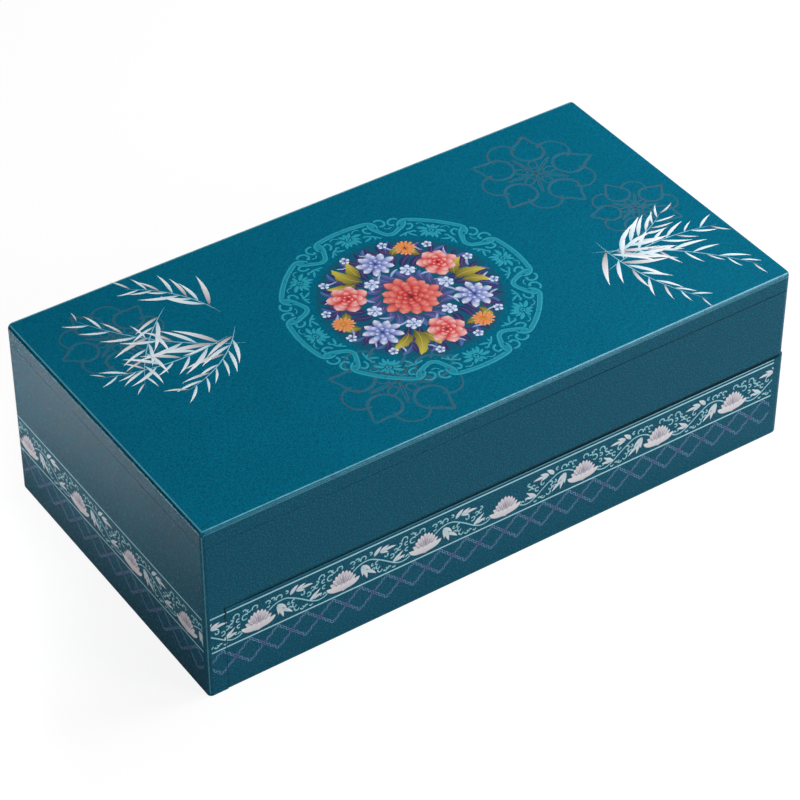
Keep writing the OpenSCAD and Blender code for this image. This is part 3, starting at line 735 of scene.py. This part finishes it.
def lilies_at(centres):
    """Lilies at the given places along the face: petals fanned from one foot, group over group, those of
    the crown plum at the base and pale at the tip, those of the bowl white with a fine rose edge, and plum
    veins over the crown."""
    layers = []
    place = np.array([[c, lily_foot] for c in centres])[:, None]
    for level, (rows, half, bow, crown) in enumerate(lily_petals):
        right = np.array(rows, float)
        other = right[right[:, 2] > 0] * (-1, 1, -1, 1)
        both = np.concatenate([right, other])
        lean = np.concatenate([np.full(len(right), bow), np.full(len(other), -bow)])
        base, tip = ((place + part).reshape(-1, 2) for part in (both[:, :2], both[:, 2:]))
        path, width = blades(base, tip, half, np.tile(lean, len(centres)), 0.62, 9, 0.6)
        lift = 0.02 + 0.012 * level + 0.002 * np.tile(np.arange(len(both)), len(centres))[:, None, None]
        if crown:
            layers.append(strokes(path, width + lily_outline, lily_line, lift - 0.006))
            colour = edged(tone(lily_plum, lily_white, 9, 0.6), lily_line, 0.85, 6, petal_across)
        else:
            colour = edged(tone(lily_rose, lily_white, 9, 0.4), lily_line, 0.45, 8, petal_across)
        layers.append(strokes(path, width, colour, lift, petal_across))
    base, tip = ((place + part).reshape(-1, 2) for part in (lily_veins[:, :2], lily_veins[:, 2:]))
    path, width = blades(base, tip, vein_half, 0.0, 0.4)
    layers.append(strokes(path, width, tone(lily_plum, lily_rose, 8, 2.0), 0.06))
    return layers


# Vine, leaf lobes and scrolls of one repeat, measured from a lily's middle and from the box's underside:
# a lobe is base, tip and half-width, and a scroll is centre, radius, first angle and sweep.
vine_points = [(5.2, 33.4), (6.9, 34.6), (9.0, 35.5), (11.4, 35.9), (13.8, 35.6), (16.2, 34.4), (18.6, 32.9),
               (21.0, 31.2), (23.3, 29.4), (25.7, 27.7), (28.6, 26.5), (31.4, 26.7), (33.4, 27.7)]
sprig_lobes = np.array([
    (15.5, 36.3, 19.4, 40.2, 1.05), (18.2, 36.9, 22.9, 39.3, 0.80), (19.8, 37.0, 26.5, 37.2, 0.80),
    (18.6, 36.8, 22.6, 35.5, 0.60), (9.0, 33.9, 9.6, 28.4, 0.70), (9.2, 33.6, 11.9, 26.2, 1.00),
    (9.1, 34.2, 13.6, 30.4, 0.95), (10.8, 30.8, 16.4, 26.7, 0.85), (24.9, 27.8, 26.6, 30.2, 0.65),
    (25.1, 27.8, 28.1, 31.6, 0.70), (26.0, 28.0, 30.1, 32.6, 0.70), (26.6, 28.2, 30.8, 29.6, 0.70)])
scroll_spots = np.array([
    (-9.9, 38.0, 1.6, 200, -230), (-9.4, 35.3, 1.0, 60, 260), (-9.2, 32.0, 1.0, 60, 250),
    (-6.1, 38.9, 0.8, 170, -220), (-4.0, 38.2, 1.0, 120, 220), (-1.1, 38.2, 1.5, 200, -250),
    (-6.1, 35.3, 1.7, 50, 270), (5.0, 37.7, 1.2, 160, -250), (5.0, 35.9, 0.7, 200, 180),
    (7.4, 38.3, 1.0, 150, -230), (10.5, 37.7, 1.6, 200, -250), (13.8, 38.7, 0.8, 120, -260),
    (14.8, 32.0, 0.7, 80, 270), (15.2, 29.4, 0.8, 200, -240), (17.1, 31.9, 1.1, 70, 230),
    (17.5, 29.6, 1.1, 120, 250), (18.6, 27.4, 1.3, 150, 210), (21.2, 26.5, 0.9, 180, 270),
    (22.9, 26.4, 0.7, 20, 200), (25.4, 26.1, 0.7, 180, 200), (21.4, 34.1, 1.0, 60, -260),
    (24.3, 32.4, 1.2, 240, 280), (26.2, 34.4, 1.1, 250, 280), (28.3, 34.2, 1.0, 60, 270),
    (28.6, 36.2, 0.8, 120, -260), (30.4, 28.8, 0.6, 60, 250), (32.2, 28.3, 0.7, 200, -220)])
scroll_half = 0.46
scroll_swell = 1.12


def repeated(local, repeats):
    """Points of one repeat set at every lily, turned left for right where the vine runs the other way."""
    place, way = (np.array(column)[:, None, None] for column in zip(*repeats))
    spread = np.broadcast_to(local, (len(repeats),) + local.shape).copy()
    spread[..., 0] = place + way * spread[..., 0]
    return spread.reshape((-1,) + local.shape[1:])


def scrollwork(start, stop, stretch, repeats, edge_highlight):
    """Rules, vine and scrolls of the band between start and stop. When the last argument is set, for the
    drawer's front, the upper rule starts a little later and the drawer's top edge gets a painted highlight: a
    thin line, faint at start and light at stop."""
    upper_rule = [(start + rule_break * edge_highlight, rule_high), (stop, rule_high)]
    lower_rule = [(start, rule_low), (stop, rule_low)]
    vine = smooth(vine_points, 5)[None] * (stretch, 1)
    x, z, radius, turn, sweep = scroll_spots.T
    path, width = curls(np.stack([x * stretch, z], -1), radius * scroll_swell,
                        np.radians(turn), np.radians(sweep), scroll_half)
    layers = [strokes([upper_rule, lower_rule], rule_half, rule_ink, 0.01),
              strokes(repeated(vine, repeats), vine_half, vine_ink),
              strokes(repeated(path, repeats), np.tile(width, (len(repeats), 1)), curl_ink, 0.005)]
    # Painted highlight along the drawer's top edge, dim at the left and bright at the right.
    if edge_highlight:
        top_edge = np.stack([np.linspace(start, stop, edge_steps), np.full(edge_steps, edge_height)], -1)
        fading = tone(highlight_dim, highlight_bright, edge_steps, edge_speed)
        layers.append(strokes(top_edge[None], edge_half, fading))
    return cut(layers, start, stop)


def flowers(start, stop, stretch, lilies, repeats):
    """Lilies and white leaf sprigs of the band that lie between start and stop."""
    path, width = blades(sprig_lobes[:, :2] * (stretch, 1), sprig_lobes[:, 2:4] * (stretch, 1),
                         sprig_lobes[:, 4], 0.06, 0.42)
    sprigs = strokes(repeated(path, repeats), np.tile(width, (len(repeats), 1)),
                     edged(tone(vine_ink, leaf_white, 8, 0.4), lily_rose, 0.3, 4), 0.03, leaf_across)
    return cut(lilies_at(lilies) + [sprigs], start, stop)


def lattice(start, stop):
    """Two crossing zigzags of twisted cord between start and stop. Each slope is a light and a dark sine
    strand about its middle line, both plum where it crosses another."""
    first = np.floor((start - cord_shift) / cord_pitch)
    step = first + np.arange(np.ceil((stop - cord_shift) / cord_pitch) - first)
    share = np.broadcast_to(np.linspace(0, 1, 6 * cord_turns), (len(step), 6 * cord_turns))
    along = cord_shift + (step[:, None] + share) * cord_pitch
    crossing = np.exp(-((share - 0.5) / 0.10) ** 2)[..., None, None]
    drop = cord_high - cord_low
    slope = np.hypot(cord_pitch, drop)
    layers = []
    for fall in (step % 2, 1 - step % 2):
        down = np.where(fall, 1, -1)[:, None]
        height = (cord_high + cord_low) / 2 + down * drop * (0.5 - share)
        for strand, ink in ((1, cord_light), (-1, cord_dark)):
            swing = strand * cord_twist * np.sin(pi * cord_turns * share)
            path = np.stack([along + swing * down * drop / slope, height + swing * cord_pitch / slope], -1)
            colour = np.array(ink) * (1 - crossing) + np.array(cord_plum) * crossing
            layers.append(strokes(path, cord_half, colour, 0.004 + 0.004 * strand))
    return cut(layers, start, stop)


def hung(layers, start, stop, first_drop, last_drop, squash):
    """Layers squashed towards the lower rule, then lowered along the face by first_drop at start and by
    last_drop at stop, as the drawer hangs."""
    for points, _ in layers:
        share = (points[..., 0] - start) / (stop - start)
        points[..., 1] = rule_low + (points[..., 1] - rule_low) * squash
        points[..., 1] -= first_drop + (last_drop - first_drop) * share
    return layers


front_face = ((0, cad_low.y, 0), (1, 0, 0), (0, 0, 1))
back_face = ((0, cad_high.y, 0), (-1, 0, 0), (0, 0, 1))
left_face = ((cad_low.x, 0, 0), (0, -1, 0), (0, 0, 1))
right_face = ((cad_high.x, 0, 0), (0, 1, 0), (0, 0, 1))
long_end = 148.0
drawer_print_end = 143.6
short_end = 76.8
joint_margin = 0.1
drawer_sag = (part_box("drawer_front_wall")[1].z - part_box("drawer_right_end")[1].z) / MM
print_sag = drawer_sag / 2
end_drop = 0.35
end_squash = 0.95
panel_joint = -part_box("left_end_panel")[1].x / MM + joint_margin
drawer_joint = -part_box("drawer_front_wall")[0].x / MM - joint_margin
long_lilies = [lily_pitch_long * k + lily_shift_long for k in range(-4, 5)]
long_repeats = [(c, 1 if k < 0 else -1) for k, c in zip(range(-4, 5), long_lilies) if k]
short_lilies = [lily_pitch_short * (k - 2.5) + lily_shift_short for k in range(6)]
short_repeats = [(c, 1) for c in short_lilies]
long_set = (1.0, long_lilies, long_repeats)
short_set = (lily_pitch_short / lily_pitch_long, short_lilies, short_repeats)
bands = {
    "drawer_front": ("drawer", front_face, -drawer_joint, drawer_print_end, (0, print_sag, 1), long_set),
    "drawer_back": ("drawer", back_face, -drawer_print_end, drawer_joint, (print_sag, 0, 1), long_set),
    "drawer_end": ("drawer", right_face, -short_end, short_end, (end_drop, end_drop, end_squash), short_set),
    "left_end": ("case", left_face, -short_end, short_end, (end_drop, end_drop, end_squash), short_set),
    "left_end_front_edge": ("case", front_face, -long_end, -panel_joint, (0, 0, 1), long_set),
    "left_end_back_edge": ("case", back_face, panel_joint, long_end, (0, 0, 1), long_set),
}
for name, (body, face, start, stop, drops, (stretch, lilies, repeats)) in bands.items():
    figures = {
        "scrollwork": scrollwork(start, stop, stretch, repeats, name == "drawer_front"),
        "flowers": flowers(start, stop, stretch, lilies, repeats),
        "lattice": lattice(start, stop),
    }
    for figure, layers in figures.items():
        if layers:
            print_piece(name + "_" + figure, body, face, hung(layers, start, stop, *drops))

# Lid ring: a round frame in light teal. Eight lengths of rope border, each with a lotus under it, are
# caught at their ends by looped straps, with a pair of hooked scrolls over each strap.
lid_face = ((0, 0, cad_high.z), (1, 0, 0), (0, 1, 0))
roundel_middle = np.array([3.0, -1.0])
ring_teal = (0.010, 0.250, 0.350)
ring_pale = (0.020, 0.330, 0.430)
ring_panels = 8
ring_middle = 50.0
ring_swell = 1.22

# Lines of the ring as length round it from the middle of a strap, or from a lotus, and distance from the
# ring's middle. Each row of lines ends in its half-width, and each is mirrored.
strap_fills = [
    ([(-19.7, 55.3), (-12, 55.3), (-8.4, 55.3), (-6.9, 54.7), (-6.0, 53.4), (-5.7, 51.8)], 0.9),
    ([(-6.9, 53.6), (-6.6, 51.6), (-5.6, 49.6), (-3.4, 46.9), (-1.6, 45.5), (0, 45.2)], 0.75),
]
strap_lines = [
    ([(-19.7, 56.1), (-12, 56.1), (-8.6, 56.1), (-6.6, 55.6), (-5.2, 54.2), (-4.5, 52.4), (-4.4, 50.9)],
     0.42),
    ([(-19.7, 54.4), (-13, 54.4), (-9.0, 54.4)], 0.22),
    ([(-7.7, 54.6), (-8.0, 53.2), (-7.7, 51.6), (-6.9, 50.0), (-5.6, 48.3), (-4.1, 46.6), (-2.2, 45.0),
      (0, 44.4)], 0.42),
    ([(-4.9, 50.5), (-3.9, 48.8), (-2.5, 47.2), (-1.2, 46.3), (0, 46.0)], 0.26),
    ([(-4.9, 55.9), (-3.6, 56.5), (-2.0, 56.2), (-0.9, 54.9), (-0.75, 53.2), (-1.5, 52.0), (-2.5, 51.7)],
     0.48),
    ([(-1.7, 50.4), (-0.9, 49.8), (0, 49.5)], 0.28),
    ([(-8.2, 48.3), (-9.6, 48.7), (-10.7, 49.8), (-10.9, 51.3), (-10.2, 52.4), (-9.2, 52.3)], 0.48),
    ([(-4.7, 43.4), (-6.6, 44.7), (-8.6, 46.0), (-10.4, 46.5), (-11.6, 47.3), (-12.4, 46.9)], 0.40),
]
strap_leaves = np.array([
    (-3.3, 51.6, -1.7, 51.9, 0.75), (-9.6, 52.6, -8.7, 51.8, 0.65), (-8.6, 45.9, -13.9, 43.6, 0.55),
    (-8.2, 45.4, -7.6, 43.1, 0.45), (-12.9, 46.6, -11.9, 46.9, 0.55)])
lotus_leaves = np.array([
    (0.05, 49.8, 0.05, 53.0, 0.85), (1.0, 49.6, 2.9, 52.7, 0.70), (1.6, 49.0, 7.0, 49.4, 0.90),
    (1.5, 48.2, 5.4, 46.5, 0.65), (1.2, 47.6, 4.4, 43.5, 0.80), (0.5, 47.3, 1.7, 43.3, 0.60),
    (0.05, 47.2, 0.05, 44.6, 0.55)])
lotus_hook = [(3.4, 51.5), (4.7, 52.9), (6.2, 53.1), (7.3, 52.3)]
lotus_hook_half = 0.34
lotus_heart = 48.6
lotus_heart_radius = 0.9


def on_ring(path, turn):
    """Points given as length round the ring and distance from its middle, set on the lid."""
    angle = turn + path[..., 0] / ring_middle
    return roundel_middle + np.stack([np.sin(angle), np.cos(angle)], -1) * path[..., 1:]


def all_round(path, half, turn):
    """Figures and their mirror images set in each of the ring's panels, with their half-widths."""
    both = np.concatenate([path, path * (-1, 1)])
    step = 2 * pi / ring_panels
    spread = np.concatenate([on_ring(both, turn + step * k) for k in range(ring_panels)])
    return spread, np.tile(np.broadcast_to(half, path.shape[:2]), (2 * ring_panels, 1))


half_step = pi / ring_panels
heart_turn = np.linspace(0, pi, 9)
lotus_heart_path = np.stack([np.sin(heart_turn), np.cos(heart_turn)], -1)[None] * lotus_heart_radius
ring_layers = []
for lines, ink, lift in ((strap_fills, ring_teal, -0.008), (strap_lines, ring_pale, 0.012)):
    ring_layers += [strokes(*all_round(smooth(path, 5)[None], half * ring_swell, half_step), ink, lift)
                    for path, half in lines]
for leaves, turn in ((strap_leaves, half_step), (lotus_leaves, 0.0)):
    path, width = blades(leaves[:, :2], leaves[:, 2:4], leaves[:, 4] * ring_swell, 0.05, 0.5, 7, 0.6)
    ring_layers.append(strokes(*all_round(path, width, turn), ring_pale, 0.006))
for path, lift in ((smooth(lotus_hook, 5)[None], 0.004), (lotus_heart_path + (0, lotus_heart), 0.02)):
    ring_layers.append(strokes(*all_round(path, lotus_hook_half, 0.0), ring_pale, lift))
print_piece("lid_ring", "lid", lid_face, ring_layers)

# Lid roundel: a wreath of garden flowers inside the ring, printed in full colour on a darker ground. A
# coral bloom in the middle, then roses, stars and small round heads in turn, over gold and navy leaves.
roundel_radius = 41.0
roundel_ground = (0.002, 0.090, 0.155)
ground_across = np.array([-1, -0.99, 0.99, 1])
draw = np.random.default_rng(7)
coral = ((0.24, 0.004, 0.008), (0.66, 0.045, 0.040), (0.92, 0.34, 0.28))
rose = ((0.42, 0.006, 0.012), (0.74, 0.075, 0.070), (0.96, 0.66, 0.62))
star = ((0.04, 0.05, 0.26), (0.26, 0.32, 0.68), (0.90, 0.92, 0.97))
marigold = ((0.60, 0.18, 0.02), (0.80, 0.24, 0.06), (0.85, 0.42, 0.20))
snow = ((0.20, 0.30, 0.62), (0.60, 0.68, 0.88), (0.95, 0.96, 0.98))
leaf_gold, leaf_olive = (0.66, 0.55, 0.06), (0.10, 0.08, 0.010)
leaf_navy, leaf_plum = (0.014, 0.022, 0.120), (0.070, 0.028, 0.140)
leaf_blue, leaf_pale = (0.10, 0.17, 0.46), (0.50, 0.62, 0.84)


def around(count, distance, turn=0.0):
    """Places spaced evenly on a circle about the roundel's middle, in millimetres."""
    angle = turn + 2 * pi * np.arange(count) / count
    return roundel_middle + distance * np.stack([np.cos(angle), np.sin(angle)], -1)


def bloom(places, rings, shades, lift, widest=0.66, steps=9):
    """Round flowers: rings of petals from outside in, each ring smaller, turned half a petal on and laid
    over the last. A ring is petals, inner and outer distance and half-width, and a petal runs from the
    deep shade through the middle one to the pale one at its tip."""
    deep, middle, pale = shades
    inner_half = tone(deep, middle, steps // 2 + 1)
    colour = np.concatenate([inner_half[:, :-1], tone(middle, pale, steps - steps // 2)], 1)
    layers = []
    for level, (count, inner, outer, half) in enumerate(rings):
        angle = 2 * pi * (np.arange(count) + 0.5 * level) / count
        wobble = draw.uniform(0.90, 1.07, (len(places), count, 1))
        way = np.stack([np.cos(angle), np.sin(angle)], -1)[None]
        base = (places[:, None] + way * inner).reshape(-1, 2)
        end = (places[:, None] + way * outer * wobble).reshape(-1, 2)
        path, width = blades(base, end, half, draw.uniform(-0.08, 0.08, len(base)), widest, steps, 0.6)
        height = lift + 0.018 * level + 0.002 * np.tile(np.arange(count) % 3, len(places))[:, None, None]
        layers.append(strokes(path, width, edged(colour, deep, 0.8, 3), height, leaf_across))
    return layers


def leaf_ring(count, start, length, half, lean, turn, root, end, lift):
    """A ring of leaves that start at one distance from the middle and lean to one side, each paler to its
    tip and with a light midrib stroke."""
    base = around(count, start, turn)
    angle = turn + 2 * pi * np.arange(count) / count + lean + draw.uniform(-0.15, 0.15, count)
    span = length * draw.uniform(0.85, 1.06, count)
    tip = base + np.stack([np.cos(angle), np.sin(angle)], -1) * span[:, None]
    path, width = blades(base, tip, half, 0.12, 0.42, 8, 0.7)
    rib, rib_half = blades(base, base + (tip - base) * 0.9, 0.18, 0.12, 0.4, 6)
    return [strokes(path, width, edged(tone(root, end, 8), root, 0.5, 3), lift, leaf_across),
            strokes(rib, rib_half, np.array(end) * 0.7 + 0.14, lift + 0.02)]


ground_turn = np.linspace(0, 2 * pi, 97)
ground_path = roundel_middle + np.stack([np.cos(ground_turn), np.sin(ground_turn)], -1) * roundel_radius / 2
print_piece("lid_wreath_ground", "lid", lid_face,
            [strokes(ground_path[None], roundel_radius / 2 - 0.05, roundel_ground, 0.005, ground_across)])

# Leaves of the wreath: how many, where they start, length, half-width, lean, turn of the first, root and
# tip colours and height. Blooms: how many, how far out, turn of the first in degrees, rings of petals,
# shades and height.
coral_rings = [(13, 3, 13.6, 2.7), (12, 2.5, 11.0, 2.5), (10, 2, 8.4, 2.2), (8, 1, 5.8, 1.8),
               (6, 0.4, 3.2, 1.2)]
rose_rings = [(7, 0.8, 9.2, 3.2), (6, 0.6, 6.9, 2.6), (5, 0.5, 4.6, 1.9), (5, 0.3, 2.3, 1.0)]
star_rings = [(9, 0.8, 9.0, 1.9), (8, 0.6, 6.2, 1.5), (6, 0.3, 3.1, 1.0)]
snow_rings = [(6, 0.5, 3.7, 1.2), (5, 0.2, 1.6, 0.6)]
dot_rings = [(5, 0.3, 2.4, 0.95)]
marigold_rings = [(15, 0.8, 5.2, 0.8), (11, 0.4, 3.2, 0.7)]
wreath_leaves = {
    "lid_wreath_dark_leaves": [
        (40, 31.0, 9.4, 1.9, 0.5, 0.0, leaf_plum, leaf_navy, 0.02),
        (20, 32.0, 8.6, 1.3, -0.5, 0.05, leaf_navy, leaf_blue, 0.024),
        (30, 21.0, 10.5, 2.0, -0.5, 0.1, leaf_navy, leaf_plum, 0.026),
        (22, 13.0, 9.0, 1.8, 0.7, 0.2, leaf_plum, leaf_blue, 0.03),
        (18, 33.5, 6.6, 0.7, 0.9, 0.12, leaf_blue, leaf_pale, 0.034),
        (15, 15.5, 7.0, 0.7, -0.9, 0.3, leaf_blue, leaf_pale, 0.036)],
    "lid_wreath_gold_leaves": [
        (3, 23.0, 16.0, 3.2, 0.0, 0.0, leaf_olive, leaf_gold, 0.046),
        (3, 25.0, 13.5, 2.8, 0.55, radians(6), leaf_olive, leaf_gold, 0.05),
        (3, 25.0, 13.5, 2.8, -0.55, radians(-6), leaf_olive, leaf_gold, 0.05),
        (3, 30.0, 10.0, 2.2, 0.9, radians(48), leaf_olive, leaf_gold, 0.046),
        (3, 30.0, 10.0, 2.2, -0.9, radians(72), leaf_olive, leaf_gold, 0.046)],
}
wreath_blooms = {
    "lid_wreath_red_blooms": [(1, 0.0, 0, coral_rings, coral, 0.08), (3, 27.0, 30, rose_rings, rose, 0.08)],
    "lid_wreath_pale_blooms": [(3, 27.4, 90, star_rings, star, 0.08), (6, 18.6, 0, snow_rings, snow, 0.09),
                               (12, 38.0, 15, dot_rings, snow, 0.07)],
    "lid_wreath_orange_blooms": [(3, 34.4, 60, marigold_rings, marigold, 0.08)],
}
for name, rows in wreath_leaves.items():
    print_piece(name, "lid", lid_face, sum((leaf_ring(*row) for row in rows), []))
for name, rows in wreath_blooms.items():
    layers = []
    for count, distance, turn, *flower in rows:
        layers += bloom(around(count, distance, radians(turn)), *flower)
    print_piece(name, "lid", lid_face, layers)

# Lid sprays: two loose sprays of slender white leaves on thin twigs, at opposite corners, brushed from
# the twig outwards, with brown shade at the foot of some.
spray_white = (0.97, 0.98, 1.0)
spray_blue = (0.30, 0.58, 0.70)
spray_shade = (0.10, 0.05, 0.06)
left_fronds = [((-72, 12), (-126, 68), 0.08), ((-70, 36), (-96, 72), -0.10), ((-76, 20), (-135, 26), 0.08),
               ((-70, 24), (-110, -2), 0.10), ((-88, 52), (-122, 10), -0.06)]
right_fronds = [((86, -20), (142, -68), 0.08), ((92, -14), (108, -74), -0.08), ((84, -34), (144, -34), 0.08),
                ((90, -24), (130, -12), -0.10)]
twig_half = 0.30
twig_steps = 40
frond_leaves = 13
frond_leaf_ratio = 0.058
longest_leaf = 22
shortest_leaf = 10


def fronds(rows):
    """Fronds: a thin bowed twig with slender leaves at even steps on alternate sides, shorter to its tip."""
    layers = []
    order = np.arange(frond_leaves)
    side = np.where(order % 2, 1, -1)
    spot = np.linspace(5, twig_steps - 3, frond_leaves).astype(int)
    for base, tip, bow in rows:
        stem, stem_half = blades([base], [tip], twig_half, bow, 0.4, twig_steps)
        run = stem[0, spot + 2] - stem[0, spot - 2]
        angle = np.arctan2(run[:, 1], run[:, 0]) + side * draw.uniform(0.25, 0.75, frond_leaves)
        span = np.linspace(longest_leaf, shortest_leaf, frond_leaves) * draw.uniform(0.65, 1.12, frond_leaves)
        end = stem[0, spot] + np.stack([np.cos(angle), np.sin(angle)], -1) * span[:, None]
        path, width = blades(stem[0, spot], end, span * frond_leaf_ratio, 0.05 * side, 0.42, 10, 1.0)
        root = np.where(order[:, None] % 4 == 0, spray_shade, spray_blue)
        s = np.linspace(0, 1, 10)[None, :, None] ** 0.5
        colour = (root[:, None] * (1 - s) + np.array(spray_white) * s)[:, :, None]
        layers.append(strokes(stem, stem_half, spray_blue))
        layers.append(strokes(path, width, colour, 0.01 + 0.004 * (order % 4)[:, None, None], leaf_across))
    return layers


print_piece("lid_left_spray", "lid", lid_face, fronds(left_fronds))
print_piece("lid_right_spray", "lid", lid_face, fronds(right_fronds))

# Lid rosettes: blossoms of five petals in faint brown tracery, hardly darker than the lacquer, scattered
# under the rest of the print. Each line is a soft patchy band with two fine broken lines in it.
rosette_brown = (0.085, 0.084, 0.086)
rosette_faint = (0.018, 0.132, 0.206)
rosette_half = 0.24
rosette_band = 0.55
rosette_dash = 3
rosette_apart = 0.07
rosette_level = -0.024
rosette_layer = 0.0015
rosette_petals = 5
rosette_steps = 73
rosettes = [(100.8, 42, 28.5, -5), (122, -4, 21, 20), (-33, -45, 28.5, 0.5), (-117, 44.5, 24.5, 36)]

# The lines of one petal on its own axis, and of the sepal beside it, in shares of the rosette's radius:
# a sepal open at its foot, a slim spoke, a round petal drawn out to a point and a small loop by the heart.
loop_turn = np.linspace(-pi, pi, rosette_steps)
petal_point = 0.15 * np.exp(-(loop_turn / 0.35) ** 2)
sepal_loop = np.stack([0.70 + 0.24 * np.cos(0.56 * loop_turn), 0.26 * np.sin(0.56 * loop_turn)], -1)
spoke_loop = np.stack([0.26 + 0.24 * np.cos(loop_turn), 0.022 * np.sin(loop_turn)], -1)
petal_loop = np.stack([0.60 + 0.25 * np.cos(loop_turn) + petal_point, 0.26 * np.sin(loop_turn)], -1)
heart_loop = np.stack([0.24 + 0.10 * np.cos(loop_turn), 0.07 * np.sin(loop_turn)], -1)


def rosette(x, y, radius, turn):
    """One blossom: the lines of a petal and its sepal turned to places evenly round a circle. Every line is
    a band, with two finer lines drawn a little within and without it, dark by chance along the way."""
    half_petal = pi / rosette_petals
    inks = ((1, rosette_band, lacquer_teal[:3], rosette_faint),
            (1 - rosette_apart, rosette_half, rosette_faint, rosette_brown),
            (1 + rosette_apart, rosette_half, rosette_faint, rosette_brown))
    lines = ((sepal_loop, half_petal), (spoke_loop, half_petal), (petal_loop, 0.0), (heart_loop, 0.0))
    layers = []
    for line, lag in lines:
        angle = radians(turn) + lag + 2 * half_petal * np.arange(rosette_petals)[:, None]
        middle = line.mean(0)
        for share, half, pale, dark in inks:
            along, aside = (middle + (line - middle) * share).T * radius
            path = np.stack([along * np.cos(angle) - aside * np.sin(angle),
                             along * np.sin(angle) + aside * np.cos(angle)], -1)
            chance = np.repeat(draw.uniform(0, 1, path.shape[:2]), rosette_dash, 1)[:, :rosette_steps]
            depth = np.clip(2.4 * chance - 0.8, 0, 1)[:, :, None, None]
            colour = np.array(pale) * (1 - depth) + np.array(dark) * depth
            layers.append(strokes((x, y) + path, half, colour, rosette_level + rosette_layer * len(layers)))
    return layers


print_piece("lid_rosettes", "lid", lid_face, sum((rosette(*spot) for spot in rosettes), []))
